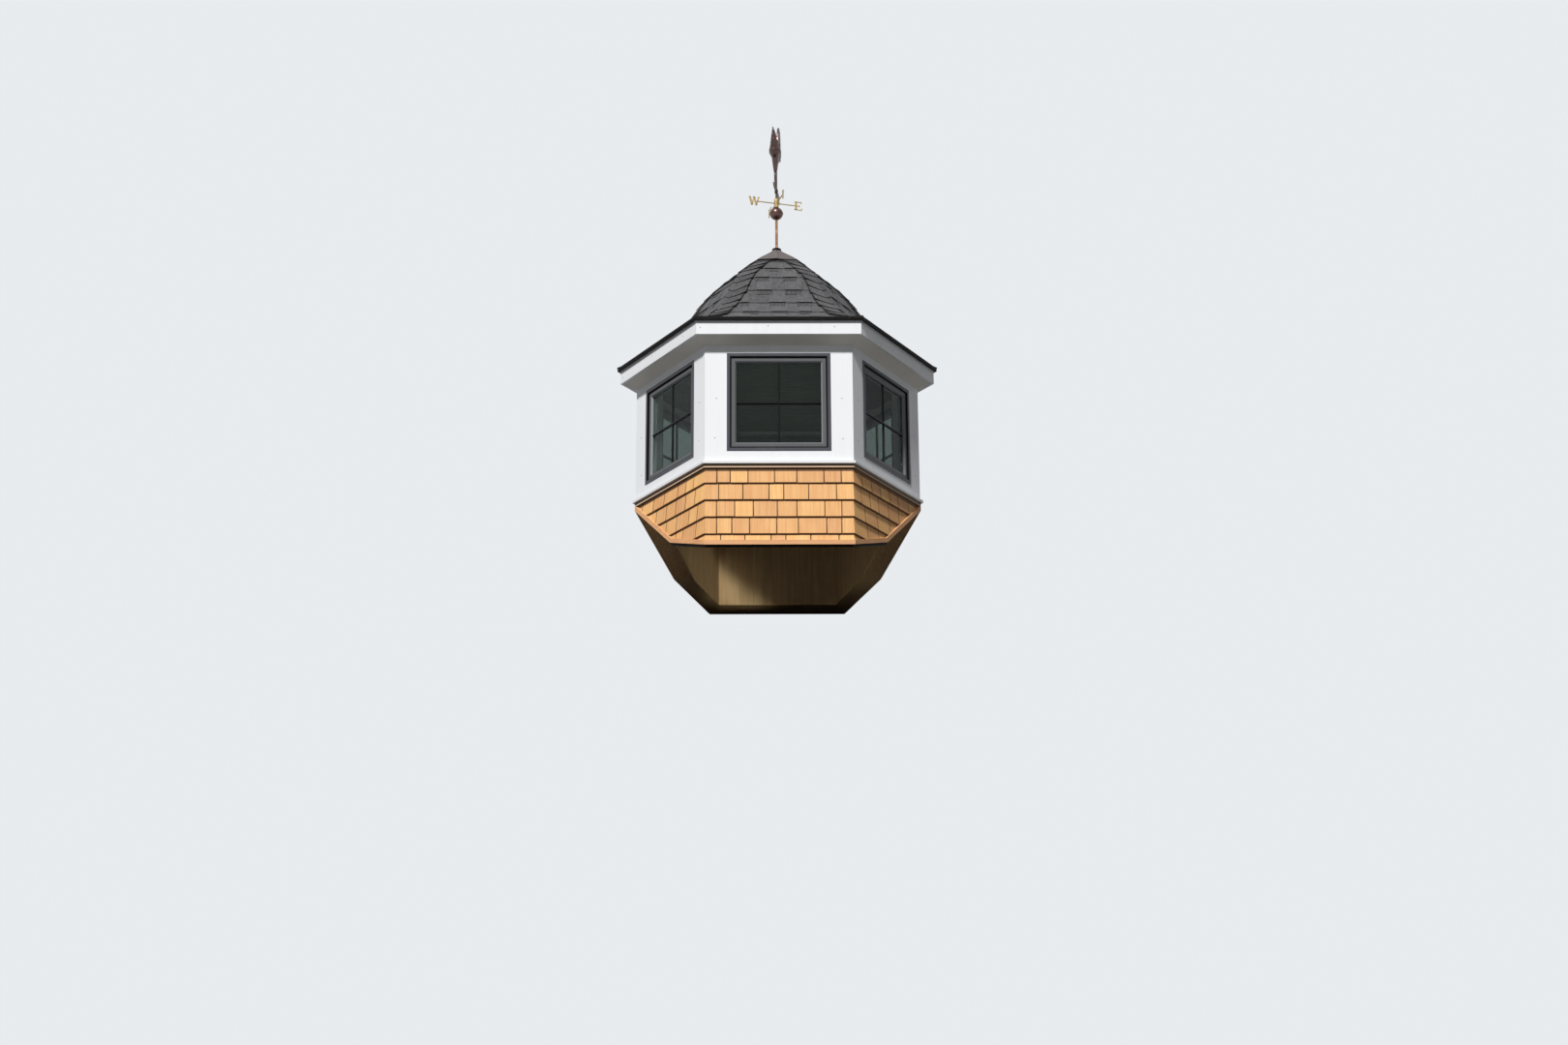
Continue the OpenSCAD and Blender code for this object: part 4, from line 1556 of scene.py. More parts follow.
class RoofTree(Growth):
    """A geometry tree that lays flat leaves of roofing on a profile.

    In the flat, X is along the face, Y is up the slope and Z is the height above the profile.
    """

    COLUMNS = 5
    ROWS = 6
    # Shares of the leaf where the dark butt ends and the dark far side starts, both partly painted shade
    BUTT_ROW = 0.02
    SIDE_COLUMN = 0.969975

    def __init__(self) -> None:
        """Builds the tree."""
        sizes = {"Edge": 9.0, "Rake": 0.5, "Taper": 0.18, "Head": 0.3, "Past": 0.0}
        super().__init__("Laid roofing", {"Profile": Socket.OBJECT, **sizes})
        self.clothe(self.lay(self.shape_leaves(self.place_leaves())))

    def place_leaves(self) -> Wire:
        """Puts a unit leaf, thinned towards its head, on every point of the start mesh.

        Returns:
            The leaves, still flat.
        """
        sizes = {"Size": (1.0, 1.0, 1.0), "Vertices X": self.COLUMNS, "Vertices Y": self.ROWS}
        cube = self.out("GeometryNodeMeshCube", sizes)
        x, y, z = self.split(self.shift(self.position(), (0.5, 0.5, 0.5)))
        first, last = 1 / (self.ROWS - 1), 1 - 1 / (self.COLUMNS - 1)
        slope = (1 - self.BUTT_ROW) / (1 - first)
        spaced = self.math("MULTIPLY_ADD", y, slope, 1 - slope)
        y = self.math("MAXIMUM", self.times(y, self.BUTT_ROW / first), spaced)
        slope = (1 - self.SIDE_COLUMN) / (1 - last)
        spaced = self.math("MULTIPLY_ADD", x, slope, 1 - slope)
        x = self.math("MINIMUM", self.times(x, self.SIDE_COLUMN / last), spaced)
        thinned = self.times(z, self.lerp(y, 1.0, self.takes["Head"]))
        leaf = self.move(cube, self.join(x, y, thinned))
        kept = self.keep(leaf, LOCAL, self.position())
        return self.scatter(kept, {"Scale": self.reading(SIZE, vector=True)})

    def shape_leaves(self, leaves: Value) -> Wire:
        """Rakes, tapers and curls the leaves beside a hip, and stores charts and the dark edges, which
        are partly painted shade.

        Args:
            leaves: The flat leaves.

        Returns:
            The shaped leaves.
        """
        across, slope, top = self.split(self.reading(LOCAL, vector=True))
        width = self.split(self.reading(SIZE, vector=True))[0]
        x, y, z = self.split(self.position())
        hip = self.math("ABSOLUTE", self.reading(SIDE))
        x = self.math("SUBTRACT", x, self.times(across, slope, width, self.takes["Taper"], hip))
        y = self.math("MULTIPLY_ADD", self.times(x, self.takes["Rake"]), hip, y)
        free = self.math("SUBTRACT", 1.0, slope)
        curl = self.times(across, across, free, self.math("GREATER_THAN", top, 0.01))
        z = self.math("MULTIPLY_ADD", self.reading(LIFT), curl, z)
        shaped = self.move(leaves, self.join(x, y, z))
        apart = self.join(self.times(self.reading(TONE), 7.3), 0.0, 0.0)
        charted = self.keep(shaped, CHART, self.shift(self.position(), apart))
        # Painted shade, with the asphalt's own dark cut edge: the butt, and the inner side of a hip cap
        inner = self.times(self.math("GREATER_THAN", across, 0.99), hip)
        dark = self.math("MAXIMUM", self.math("LESS_THAN", slope, 0.01), inner)
        return self.keep(charted, BUTT, dark, vector=False)

    def lay(self, leaves: Value) -> Wire:
        """Bends flat leaves onto the profile, trims them at the hips and turns them to their face.

        Args:
            leaves: The flat leaves.

        Returns:
            The laid leaves.
        """
        across, slope, height = self.split(self.position())
        profile = self.add("GeometryNodeObjectInfo", {"Object": self.takes["Profile"]})
        inputs = {"Curves": profile.outputs["Geometry"], "Length": slope}
        sample = self.add("GeometryNodeSampleCurve", inputs, mode="LENGTH")
        out, _, up = self.split(sample.outputs["Position"])
        lean, _, rise = self.split(sample.outputs["Tangent"])
        out = self.math("MULTIPLY_ADD", rise, height, out)
        out = self.math("MINIMUM", out, self.takes["Edge"])
        up = self.math("SUBTRACT", up, self.times(lean, height))
        limit = self.math("MULTIPLY_ADD", out, SLANT, -HAIRLINE)
        side = self.reading(SIDE)
        trimmed = self.math("MAXIMUM", self.times(limit, -1.0), across)
        trimmed = self.math("MINIMUM", limit, trimmed)
        past = self.times(self.takes["Past"], -1.0)
        inward = self.math("MAXIMUM", self.math("SUBTRACT", limit, across), past)
        along = self.lerp(self.math("ABSOLUTE", side), trimmed, self.times(side, inward))
        turned = self.turn(self.join(out, along, up), self.reading(TURN))
        inputs = {0: self.move(leaves, turned), "Selection": self.math("GREATER_THAN", side, 0.5)}
        return self.out("GeometryNodeFlipFaces", inputs)


@dataclass
class BellRoof(Assembly):
    """The bell-cast roof: laminated shingles, hip caps, the peak and the metal edge."""

    rise: float = 0.019
    cover: float = 0.0157
    exposure: float = 0.161
    lap: float = 0.012
    sheet: float = 0.0075
    sheet_joint: float = 0.6
    tab: float = 0.0125
    tab_clear: float = 0.07
    tab_start: Flat = (-0.02, 0.06)
    tab_widths: Flat = (0.06, 0.14)
    tab_gaps: Flat = (0.07, 0.17)
    narrowest_tab: float = 0.05
    band: float = 0.05
    band_thickness: float = 0.005
    band_rise: float = 0.0022
    cap_exposure: float = 0.09
    cap_lap: float = 0.03
    cap_width: float = 0.1
    cap_widths: Flat = (0.9, 1.06)
    cap_under: float = 0.0102
    uneven: float = 0.006
    cap_lift: Flat = (0.003, 0.008)
    front_lift: float = 1.8
    peak_reach: float = 0.195
    peak_bend: float = 0.012
    peak_top: float = 0.027
    peak_thickness: float = 0.0075
    peak_lap: float = 0.003
    peak_past: float = 0.012
    peak_lift: Flat = (0.002, 0.005)
    peak_steps: int = 8
    draw: random.Random = field(default_factory=lambda: random.Random(40))

    # Raised tabs that show on the front, by course from the eave, from the middle
    FRONT_TABS = {
        2: ((-0.257, -0.141), (-0.046, 0.070), (0.157, 0.244)),
        3: ((-0.271, -0.213), (-0.061, 0.055), (0.142, 0.251)),
        4: ((-0.155, -0.039), (0.055, 0.178)),
        5: ((-0.162, -0.061), (0.041, 0.142)),
        6: ((-0.090, 0.004), (0.055, 0.113)),
    }

    def build(self) -> None:
        """Builds the roof's pieces and paints its metal edge and its boarding."""
        tree = RoofTree()
        curve = BellCurve(self.plan.hip_caps.half, self.plan.drip_edge.high + self.rise)
        bell = Profile("bell_profile", curve.face_points())
        edge = bell.points[0][0]
        leaves = [leaf for face in Face for leaf in self.courses(face, bell)]
        values = {"Edge": edge, "Head": 0.25}
        self.lay("roof_courses", "roof_shingles", Look.ASPHALT, tree, bell, leaves, values)
        leaves = [leaf for face in Face for leaf in self.caps(face, bell)]
        values = {"Edge": edge, "Head": 0.4, "Rake": 0.65, "Taper": 0.12}
        self.lay("hip_runs", "hip_caps", Look.ASPHALT, tree, bell, leaves, values)
        low, bend = bell.length - self.peak_reach, bell.length - self.peak_bend
        shares = (step / self.peak_steps for step in range(self.peak_steps + 1))
        laid = [bell.point(low + (bend - low) * share) for share in shares]
        bell.remove()
        top = (self.peak_top, self.plan.peak.high - self.peak_thickness * 0.75)
        cone = Profile("peak_profile", [*laid, top])
        leaves = [leaf for face in Face for leaf in self.folds(face, cone)]
        foot = cone.points[0][0]
        values = {"Edge": foot + 0.01, "Head": 1.0, "Rake": 0.14, "Taper": 1 - top[0] / foot}
        values["Past"] = self.peak_past
        self.lay("peak_folds", "peak_cap", Look.BROWN_ASPHALT, tree, cone, leaves, values)
        cone.remove()
        self.shop.paint(Look.DRIP_EDGE, "drip_edge")
        self.shop.paint(Look.SHEATHING, "roof_deck")

    def lay(
        self,
        name: str,
        stands_for: str,
        look: Look,
        tree: RoofTree,
        profile: Profile,
        leaves: Sequence[Leaf],
        values: Inputs,
    ) -> None:
        """Lays leaves on a profile as one piece.

        Args:
            name: The piece's name.
            stands_for: The frame node that the piece is shown instead of.
            look: The finish.
            tree: The tree that lays them.
            profile: The profile that they follow.
            leaves: The leaves.
            values: The tree's sizes, by name.
        """
        points = [(leaf.along, leaf.butt, leaf.under) for leaf in leaves]
        marks = {
            SIZE: [(leaf.width, leaf.length, leaf.thickness) for leaf in leaves],
            TURN: [leaf.face.angle for leaf in leaves],
            SIDE: [float(leaf.side) for leaf in leaves],
            TONE: [leaf.tone for leaf in leaves],
            LIFT: [leaf.lift for leaf in leaves],
        }
        values = {**values, "Profile": profile.curve}
        self.shop.grow(name, tree, values, look, points, marks, stands_for)

    def courses(self, face: Face, bell: Profile) -> list[Leaf]:
        """Lays out a face's courses, each a full sheet with raised tabs above dark bands.

        Args:
            face: The face.
            bell: The roof's profile.

        Returns:
            The leaves.
        """
        leaves = []
        for course in range(math.ceil(bell.length / self.exposure)):
            butt = course * self.exposure
            length = min(self.exposure + self.lap, bell.length - butt)
            half = bell.half_width(butt) + 0.01
            joint = self.draw.uniform(-self.sheet_joint, self.sheet_joint) * half
            for start, end in ((-half, joint), (joint, half)):
                size = (end - start, length, self.sheet, -self.cover)
                leaves.append(Leaf(face, butt, *size, self.draw.uniform(0.5, 0.8), start))
            clear = bell.half_width(butt + length) - self.tab_clear
            for start, end in self.tabs(face, course, clear) if course else ():
                size = (end - start, length, self.tab, -self.cover)
                leaves.append(Leaf(face, butt, *size, self.draw.uniform(0.6, 1.0), start))
                below = (self.band_thickness, self.band_rise - self.cover)
                size = (end - start, self.band + self.lap, *below)
                leaves.append(Leaf(face, butt - self.band, *size, 0.0, start))
        return leaves

    def tabs(self, face: Face, course: int, clear: float) -> list[Flat]:
        """Chooses a course's raised tabs.

        Args:
            face: The face.
            course: The course, counted from the eave.
            clear: How far from the middle they may reach.

        Returns:
            The two edges of each tab, from the middle.
        """
        if face is Face.FRONT and course in self.FRONT_TABS:
            return list(self.FRONT_TABS[course])
        spans = []
        start = -clear + self.draw.uniform(*self.tab_start)
        while start + self.narrowest_tab < clear:
            end = min(start + self.draw.uniform(*self.tab_widths), clear)
            spans.append((start, end))
            start = end + self.draw.uniform(*self.tab_gaps)
        return spans

    def caps(self, face: Face, bell: Profile) -> list[Leaf]:
        """Lays out the caps folded over the hip between a face and the next.

        Args:
            face: The face.
            bell: The roof's profile.

        Returns:
            Two leaves for each cap, one on either side of the hip.
        """
        leaves = []
        highest = bell.length - 1.6 * self.peak_reach
        for number in range(math.ceil(bell.length / self.cap_exposure)):
            loose = float(0 < number * self.cap_exposure < highest)
            butt = number * self.cap_exposure + loose * self.draw.uniform(-self.uneven, self.uneven)
            length = min(self.cap_exposure + self.cap_lap, bell.length - butt)
            tone = self.draw.uniform(0.1, 1.0)
            for side, owner in ((1, face), (-1, face.after)):
                width = self.cap_width * self.draw.uniform(*self.cap_widths)
                shade = tone * self.draw.uniform(0.85, 1.0)
                more = self.front_lift if owner is Face.FRONT else 1.0
                lift = loose * self.draw.uniform(*self.cap_lift) * more
                size = (width, length, self.cap_under, -self.cap_under)
                leaves.append(Leaf(owner, butt, *size, shade, side=side, lift=lift))
        return leaves

    def folds(self, face: Face, cone: Profile) -> list[Leaf]:
        """Lays out the last cap over each hip, which meet in the middle of the faces.

        Args:
            face: The face.
            cone: The peak's profile.

        Returns:
            Two leaves, one on either side of the hip, lapped left over right.
        """
        tone = self.draw.uniform(0.2, 1.0)
        leaves = []
        for side, owner, over, thicker in (
            (1, face, 0.0, 0.0),
            (-1, face.after, self.peak_past, self.peak_lap),
        ):
            size = (cone.half_width(0.0) + over, cone.length, self.peak_thickness + thicker, 0.0004)
            shade, lift = tone * self.draw.uniform(0.8, 1.0), self.draw.uniform(*self.peak_lift)
            leaves.append(Leaf(owner, 0.0, *size, shade, side=side, lift=lift))
        return leaves


def bar(low: Flat, high: Flat, width: float) -> Stroke:
    """Makes a straight stroke of a letter with level ends."""
    return [((x - width / 2, y), (x + width / 2, y)) for x, y in (low, high)]


def level(start: float, end: float, y: float, width: float = 0.105) -> Stroke:
    """Makes a level stroke of a letter with upright ends."""
    return [((x, y + width / 2), (x, y - width / 2)) for x in (start, end)]


def spine() -> Stroke:
    """Makes the curved stroke of the S, thick in the middle and thin at its ends.

    Returns:
        The stroke.
    """
    middle = []
    for centre, start, end in ((0.735, 20, 270), (0.265, 90, -160)):
        for step in range(13):
            angle = math.radians(start + (end - start) * step / 12)
            middle.append((0.5 + 0.29 * math.cos(angle), centre + 0.235 * math.sin(angle)))
    middle.pop(13)
    stroke = []
    for step, (x, y) in enumerate(middle):
        before, after = middle[max(step - 1, 0)], middle[min(step + 1, len(middle) - 1)]
        ahead = Vector((after[0] - before[0], after[1] - before[1])).normalized()
        half = 0.04 + 0.06 * math.sin(math.pi * step / (len(middle) - 1)) ** 2
        left = (x - ahead.y * half, y + ahead.x * half)
        stroke.append((left, (x + ahead.y * half, y - ahead.x * half)))
    return stroke


# Widths of the letters' strokes, as shares of the letter's width
FOOT = 0.08
THIN = 0.13
MEDIUM = 0.19
THICK = 0.24


class Letter(Enum):
    """A compass letter: its width, and its strokes in a unit square.

    Each stroke is a list of pairs of points, its left edge and its right edge on the way.
    """

    EAST = (0.066, [
        bar((0.22, 0.0), (0.22, 1.0), THICK),
        level(0.02, 0.9, 0.96),
        level(0.22, 0.66, 0.5),
        level(0.02, 0.94, 0.04),
        bar((0.87, 0.76), (0.87, 1.0), FOOT),
        bar((0.63, 0.38), (0.63, 0.62), FOOT),
        bar((0.91, 0.0), (0.91, 0.28), FOOT),
    ])
    NORTH = (0.07, [
        level(0.0, 0.3, 0.03, FOOT),
        level(0.0, 0.3, 0.97, FOOT),
        level(0.7, 1.0, 0.97, FOOT),
        bar((0.15, 0.0), (0.15, 1.0), THIN),
        bar((0.84, 0.0), (0.84, 1.0), THIN),
        bar((0.79, 0.0), (0.2, 1.0), THICK),
    ])
    WEST = (0.082, [
        *(level(x - 0.12, x + 0.12, 0.97, FOOT) for x in (0.08, 0.48, 0.93)),
        bar((0.28, 0.0), (0.07, 1.0), MEDIUM),
        bar((0.28, 0.0), (0.49, 1.0), THIN),
        bar((0.7, 0.0), (0.49, 1.0), MEDIUM),
        bar((0.7, 0.0), (0.94, 1.0), THIN),
    ])
    SOUTH = (0.06, [
        spine(),
        bar((0.81, 0.7), (0.81, 0.98), FOOT),
        bar((0.19, 0.02), (0.19, 0.3), FOOT),
        level(0.55, 1.06, 0.5),
    ])

    def __init__(self, width: float, strokes: list[Stroke]) -> None:
        """Takes a value apart."""
        self.width = width
        self.strokes = strokes


@dataclass
class Finial(Assembly):
    """The collar, pole, ball and compass, with a brass letter at the end of each arm."""

    compass_turn: float = math.radians(16)
    letter_reach: float = 0.177
    letter_height: float = 0.07
    letter_thickness: float = 0.0035
    seam: float = 0.0016
    seam_sunk: float = 0.3
    seam_steps: int = 48

    def build(self) -> None:
        """Builds the letters and the ball's seam, and paints the rest."""
        self.shop.paint(Look.COLLAR, "pole_collar")
        self.shop.paint(Look.COPPER, "vane_pole")
        self.shop.paint(Look.BALL, "copper_ball")
        self.shop.paint(Look.BRASS, "compass_arms")
        draft = Draft()
        across = Vector((math.cos(self.compass_turn), math.sin(self.compass_turn), 0.0))
        beyond = Vector((-across.y, across.x, 0.0))
        for letter, reading, side in (
            (Letter.EAST, across, 1),
            (Letter.WEST, across, -1),
            (Letter.NORTH, beyond, 1),
            (Letter.SOUTH, beyond, -1),
        ):
            self.add_letter(draft, letter, reading, side)
        self.shop.make("compass_letters", draft, Look.BRASS)
        self.build_seam()

    def add_letter(self, draft: Draft, letter: Letter, reading: Vector, side: int) -> None:
        """Adds a letter plate, upright in the plane of its arm.

        Args:
            draft: The letters' mesh in the making.
            letter: The letter.
            reading: The direction in which it is read.
            side: 1 where that direction leads away from the pole, and -1 elsewhere.
        """
        centre = reading * side * self.letter_reach + Vector((0, 0, self.plan.compass.middle))
        normal = reading.cross(UP) * self.letter_thickness / 2
        for stroke in letter.strokes:
            grid = []
            for pair in stroke:
                row = []
                for x, y in pair:
                    rise = Vector((0, 0, (y - 0.5) * self.letter_height))
                    point = centre + reading * (x - 0.5) * letter.width + rise
                    row.append((point + normal, point - normal))
                grid.append(row)
            draft.slab(grid)

    def build_seam(self) -> None:
        """Builds the raised seam round the middle of the ball."""
        low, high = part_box("copper_ball")
        radius = (high.x - low.x) / 2 - self.seam * self.seam_sunk
        middle = (low.z + high.z) / 2
        angles = [math.tau * step / self.seam_steps for step in range(self.seam_steps + 1)]
        ring = [Vector((radius * math.cos(a), radius * math.sin(a), middle)) for a in angles]
        draft = Draft()
        draft.tube(ring, [self.seam] * len(ring), 6)
        self.shop.make("ball_seam", draft, Look.BALL, smooth=True)


@dataclass(frozen=True)
class FeatherRow:
    """A row of wing feathers, from the top down. The steps lead from each one to the next."""

    count: int
    root: Flat
    root_step: Flat
    tip: Flat
    tip_step: Flat
    width: float
    lift: float

    def feathers(self) -> list[tuple[Flat, Flat]]:
        """Gives the root and tip of each feather."""
        ends = ((self.root, self.root_step), (self.tip, self.tip_step))
        return [tuple((x + dx * n, z + dz * n) for (x, z), (dx, dz) in ends) for n in range(self.count)]


@dataclass
class Weathercock(Assembly):
    """The turning figure: its body drawn smooth, its plumage, eyes and lower beak.

    Its own frame has X towards its beak, Y to its left and Z up from the top of the sleeve.
    """

    heading: float = math.radians(-98.3)
    voxel: float = 0.0024
    softening: int = 4
    tail_root: Flat = (-0.084, 0.108)
    tail_depth: float = 0.062
    tail_rise: float = 0.272
    tail_sweep: float = 175
    tail_width: float = 0.038
    tail_plate: float = 0.012
    plumes: int = 5
    wing: tuple[FeatherRow, ...] = (
        FeatherRow(6, (0.040, 0.132), (-0.004, -0.010), (-0.088, 0.110), (0.013, -0.013), 0.019, 0.0015),
        FeatherRow(5, (0.068, 0.134), (-0.003, -0.011), (-0.018, 0.124), (0.006, -0.014), 0.02, 0.0032),
        FeatherRow(4, (0.092, 0.132), (-0.002, -0.012), (0.032, 0.128), (0.0, -0.015), 0.02, 0.0048),
    )
    neck_root: Flat = (0.146, 0.212)
    neck_foot: Flat = (0.080, 0.112)
    beak: tuple[Flat, ...] = ((0.152, 0.214), (0.172, 0.219), (0.194, 0.226))
    beak_radii: tuple[float, ...] = (0.008, 0.0055, 0.001)
    eye: Flat = (0.158, 0.229)
    eye_steps: tuple[float, ...] = (-0.002, 0.0006, 0.0018, 0.0022)
    eye_radii: tuple[float, ...] = (0.0034, 0.0032, 0.0018, 0.0004)
    reach: float = 0.2
    plumage: Draft = field(default_factory=Draft)
    skin: BVHTree | None = None

    def build(self) -> None:
        """Builds the figure and its plumage, and paints the sleeve and arrow."""
        self.shop.paint(Look.FIGURE, "vane_sleeve", "vane_arrow")
        figure = self.soften_figure()
        self.shop.enlist(figure, Look.FIGURE, "weathercock", Body.VANE)
        corners = [vertex.co for vertex in figure.data.vertices]
        self.skin = BVHTree.FromPolygons(corners, [tuple(p.vertices) for p in figure.data.polygons])
        for side in (-1, 1):
            self.add_tail(side)
            self.add_wing(side)
            self.add_hackles(side)
        self.add_head()
        self.shop.make("weathercock_plumage", self.plumage, Look.FIGURE, None, Body.VANE, True)

    def place(self, x: float, y: float, z: float) -> Vector:
        """Turns a point from the figure's frame to the row frame."""
        up = Vector((0.0, 0.0, self.plan.sleeve.high + z))
        return Matrix.Rotation(self.heading, 3, "Z") @ Vector((x, y, 0.0)) + up

    def soften_figure(self) -> bpy.types.Object:
        """Draws the figure's joined masses into one smooth skin.

        Returns:
            The figure.
        """
        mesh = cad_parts["weathercock"].data.copy()
        shape = bmesh.new()
        shape.from_mesh(mesh)
        bmesh.ops.remove_doubles(shape, verts=shape.verts, dist=1e-5)
        shape.to_mesh(mesh)
        shape.free()
        figure = link("weathercock_figure", mesh)
        fuse = figure.modifiers.new("fuse", "REMESH")
        fuse.mode = "VOXEL"
        fuse.voxel_size = self.voxel
        soften = figure.modifiers.new("soften", "SMOOTH")
        soften.factor = 0.5
        soften.iterations = self.softening
        Workshop.settle(figure)
        figure.data.shade_smooth()
        figure.data.materials.clear()
        figure.data.materials.append(self.shop.materials[Look.FIGURE])
        return figure

    def surface(self, x: float, z: float, side: int) -> float | None:
        """Finds how far out the figure's side is.

        Args:
            x: Place along the figure.
            z: Height.
            side: 1 for its left and -1 for its right.

        Returns:
            The distance from its middle plane, or None beside the figure.
        """
        start = self.place(x, side * self.reach, z)
        toward = self.place(x, 0.0, z) - start
        hit = self.skin.ray_cast(start, toward.normalized(), self.reach)
        return None if hit[0] is None else self.reach - hit[3]

    def add_feather(self, side: int, root: Flat, tip: Flat, width: float, lift: float) -> None:
        """Adds a feather that lies on the figure's side.

        Args:
            side: 1 for the left side and -1 for the right.
            root: The feather's root, along and up.
            tip: Its tip.
            width: Its greatest width.
            lift: How far it stands off the body.
        """
        reach = Vector(tip) - Vector(root)
        beside = Vector((-reach.y, reach.x)).normalized()
        grid = []
        known = 0.03
        for t in (step / 7 for step in range(8)):
            half = width / 2 * math.sin(math.pi * (0.14 + 0.83 * t)) ** 0.7
            row = []
            for share in (-1.0, -0.5, 0.0, 0.5, 1.0):
                spot = Vector(root) + reach * t + beside * half * share
                found = self.surface(spot.x, spot.y, side)
                known = known if found is None else found
                crown = lift * (0.35 + 0.65 * t) + 0.0022 * (1 - share * share)
                depths = (known + crown, known - 0.003)
                row.append([self.place(spot.x, side * depth, spot.y) for depth in depths])
            grid.append(row)
        self.plumage.slab(grid)

    def add_wing(self, side: int) -> None:
        """Adds a folded wing: long feathers, shorter ones over them and the shoulder.

        Args:
            side: 1 for the left side and -1 for the right.
        """
        for row in self.wing:
            for root, tip in row.feathers():
                self.add_feather(side, root, tip, row.width, row.lift)

    def add_hackles(self, side: int) -> None:
        """Adds rows of pointed feathers down the neck.

        Args:
            side: 1 for the left side and -1 for the right.
        """
        head, foot = Vector(self.neck_root), Vector(self.neck_foot)
        down = foot - head
        forward = Vector((-down.y, down.x)).normalized()
        for share in (0.75, 0.5, 0.25, 0.0):
            spread = 0.012 + 0.0225 * share
            width = 0.011 + 0.008 * share
            lift = 0.0012 + 0.0012 * (1 - share)
            for number in (-1.0, -0.5, 0.0, 0.5, 1.0):
                root = head + down * share + forward * number * spread
                tip = root + down * 0.36 + forward * number * 0.008
                self.add_feather(side, tuple(root), tuple(tip), width, lift)

    def add_tail(self, side: int) -> None:
        """Adds crowned plumes over the tail's plate.

        Args:
            side: 1 for the left side and -1 for the right.
        """
        for plume in range(self.plumes):
            depth = self.tail_depth - 0.005 * plume
            rise = self.tail_rise * (1 - 0.19 * plume)
            sweep = self.tail_sweep - 12 * plume
            grid = []
            for t in (step / 21 for step in range(22)):
                angle = math.radians(90 + sweep * t)
                half = self.tail_width / 2 * max(math.sin(math.pi * (0.12 + 0.88 * t)), 0.0) ** 0.6
                row = []
                for share in (-1.0, -0.6, -0.12, 0.0, 0.12, 0.6, 1.0):
                    wide = half * share * 0.97
                    x = self.tail_root[0] + (depth + wide) * math.sin(angle) - depth
                    z = self.tail_root[1] - (rise + wide) * math.cos(angle)
                    quill = 0.0012 if share == 0.0 else 0.0
                    crown = 0.0024 * (1 - share * share) * min(1.0, half / 0.012) + quill
                    out = self.tail_plate / 2 + 0.0003 * plume + crown
                    depths = (out, self.tail_plate * 0.3)
                    row.append([self.place(x, side * reach, z) for reach in depths])
                grid.append(row)
            self.plumage.slab(grid)

    def add_head(self) -> None:
        """Adds the lower beak and the eyes."""
        beak = [self.place(x, 0, z) for x, z in self.beak]
        self.plumage.tube(beak, self.beak_radii, 10)
        x, z = self.eye
        for side in (-1, 1):
            out = self.surface(x, z, side) or 0.008
            eye = [self.place(x, side * (out + step), z) for step in self.eye_steps]
            self.plumage.tube(eye, self.eye_radii, 10)


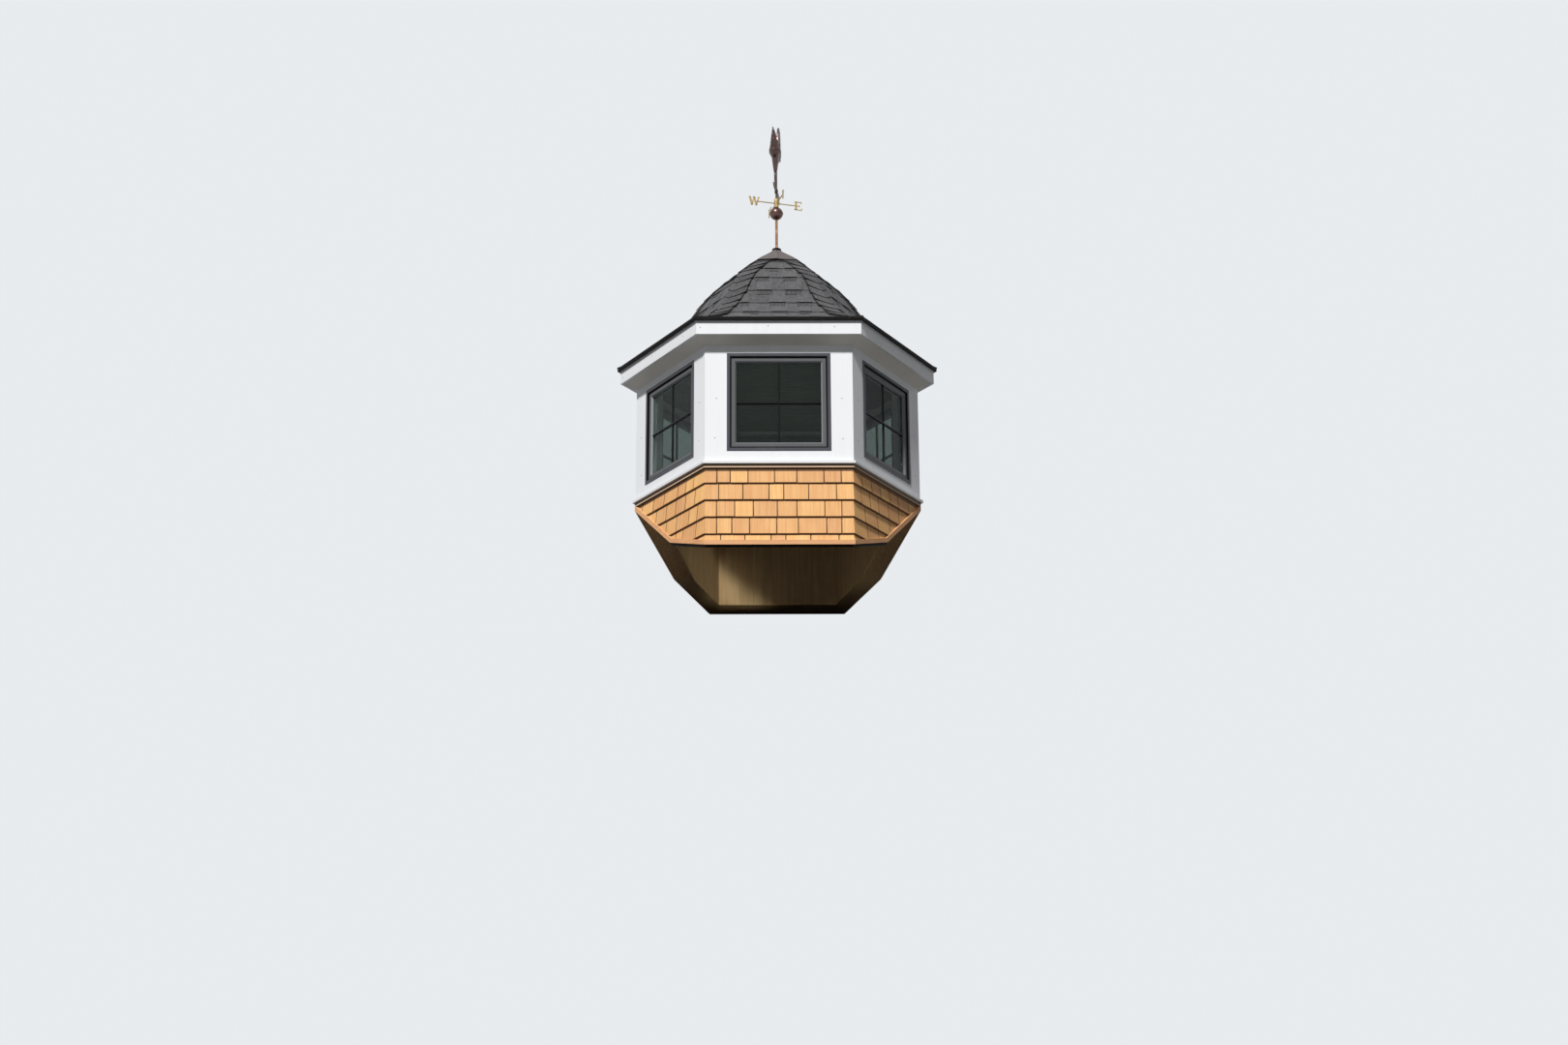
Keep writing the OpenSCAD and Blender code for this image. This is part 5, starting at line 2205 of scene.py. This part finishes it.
@dataclass
class Studio:
    """The plain studio: a pale floor and backdrop, a soft lamp and the camera."""

    floor_reach: float = 40.0
    lamp_direction: Vector = field(default_factory=lambda: Vector((0.272, 0.691, -0.669)))
    lamp_strength: float = 3.9
    lamp_spread: float = math.radians(5)
    backdrop: float = 0.86
    surround: float = 0.145
    sky: Colour = (0.94, 0.97, 1.0)
    floor_shade: float = 0.8
    floor_bounce: float = 0.15

    # The camera, from the photograph
    PICTURE_WIDTH = 1620
    PICTURE_HEIGHT = 1080
    FOCAL_PIXELS = 2500.0
    SENSOR = 36.0
    TARGET = Vector((0.0, 0.0, 1.0416))
    DISTANCE = 18.0816
    ELEVATION = math.radians(19.04)
    YAW = math.radians(-0.64)
    ROLL = math.radians(-0.29)
    TARGET_PIXEL = (803.8, 463.2)

    def build(self) -> None:
        """Builds the whole studio."""
        self.build_world()
        self.build_floor()
        self.build_lamp()
        self.build_camera()
        bpy.context.scene.view_settings.view_transform = "Standard"

    @staticmethod
    def seen(graph: Graph) -> Wire:
        """Tells rays that show a surface, directly or in a reflection, from other rays.

        Args:
            graph: The tree.

        Returns:
            1 for such a ray and 0 otherwise.
        """
        rays = graph.add("ShaderNodeLightPath").outputs
        shown = graph.math("MAXIMUM", rays["Is Camera Ray"], rays["Is Glossy Ray"])
        return graph.math("MAXIMUM", shown, rays["Is Transmission Ray"])

    def build_world(self) -> None:
        """Makes a pale surround that lights the object more softly than it looks."""
        world = bpy.data.worlds.new("studio")
        world.use_nodes = True
        graph = Graph(world.node_tree)
        strength = graph.lerp(self.seen(graph), self.surround, self.backdrop)
        light = graph.out("ShaderNodeBackground", {"Color": solid(self.sky), "Strength": strength})
        graph.add("ShaderNodeOutputWorld", {"Surface": light})
        bpy.context.scene.world = world

    def build_floor(self) -> None:
        """Lays a pale floor under the lowest edge. Seen from below, it is open."""
        reach = self.floor_reach
        mesh = bpy.data.meshes.new("floor")
        corners = [(-reach, -reach, 0), (reach, -reach, 0), (reach, reach, 0), (-reach, reach, 0)]
        mesh.from_pydata(corners, [], [(0, 1, 2, 3)])
        material = bpy.data.materials.new("studio_floor")
        material.use_nodes = True
        graph = Graph(material.node_tree)
        shade = graph.lerp(self.seen(graph), self.floor_bounce, self.floor_shade)
        paint = graph.out("ShaderNodeBsdfDiffuse", {"Color": graph.join(shade, shade, shade)})
        open_air = graph.out("ShaderNodeBsdfTransparent")
        back = graph.add("ShaderNodeNewGeometry").outputs["Backfacing"]
        mixed = graph.out("ShaderNodeMixShader", {0: back, 1: paint, 2: open_air})
        graph.add("ShaderNodeOutputMaterial", {"Surface": mixed})
        mesh.materials.append(material)
        link("floor", mesh)

    def build_lamp(self) -> None:
        """Hangs a large soft lamp at the front left."""
        lamp = bpy.data.lights.new("key", "SUN")
        lamp.energy = self.lamp_strength
        lamp.angle = self.lamp_spread
        hung = link("key", lamp)
        hung.rotation_mode = "QUATERNION"
        hung.rotation_quaternion = self.lamp_direction.to_track_quat("-Z", "Y")

    def build_camera(self) -> None:
        """Places the camera as it stood for the photograph, below the eaves and looking up."""
        side = Vector((math.cos(self.YAW), math.sin(self.YAW), 0.0))
        level = Vector((-math.sin(self.YAW), math.cos(self.YAW), 0.0))
        ahead = level * math.cos(self.ELEVATION) + UP * math.sin(self.ELEVATION)
        stand = self.TARGET - ahead * self.DISTANCE
        right = (self.TARGET_PIXEL[0] - self.PICTURE_WIDTH / 2) / self.FOCAL_PIXELS
        above = (self.PICTURE_HEIGHT / 2 - self.TARGET_PIXEL[1]) / self.FOCAL_PIXELS
        turn = Matrix((side, side.cross(ahead), -ahead)).transposed()
        turn = turn @ Matrix.Rotation(math.atan(right), 3, "Y")
        turn = turn @ Matrix.Rotation(-math.atan(above), 3, "X")
        turn = turn @ Matrix.Rotation(self.ROLL, 3, "Z")
        data = bpy.data.cameras.new("camera")
        data.sensor_width = self.SENSOR
        data.lens = self.FOCAL_PIXELS / self.PICTURE_WIDTH * self.SENSOR
        data.clip_end = 200.0
        camera = link("camera", data)
        camera.matrix_world = Matrix.Translation(stand) @ turn.to_4x4()
        bpy.context.scene.camera = camera


def main() -> None:
    """Builds every piece in order."""
    logging.basicConfig(level=logging.INFO, format="%(message)s")
    bpy.context.view_layer.update()
    plan = Plan.measure()
    shop = Workshop(mix_finishes(plan))
    for assembly in (CedarBase, Lantern, BellRoof, Finial, Weathercock):
        assembly(shop, plan).build()
    Studio().build()
    bpy.context.view_layer.update()


if __name__ == "__main__":
    main()
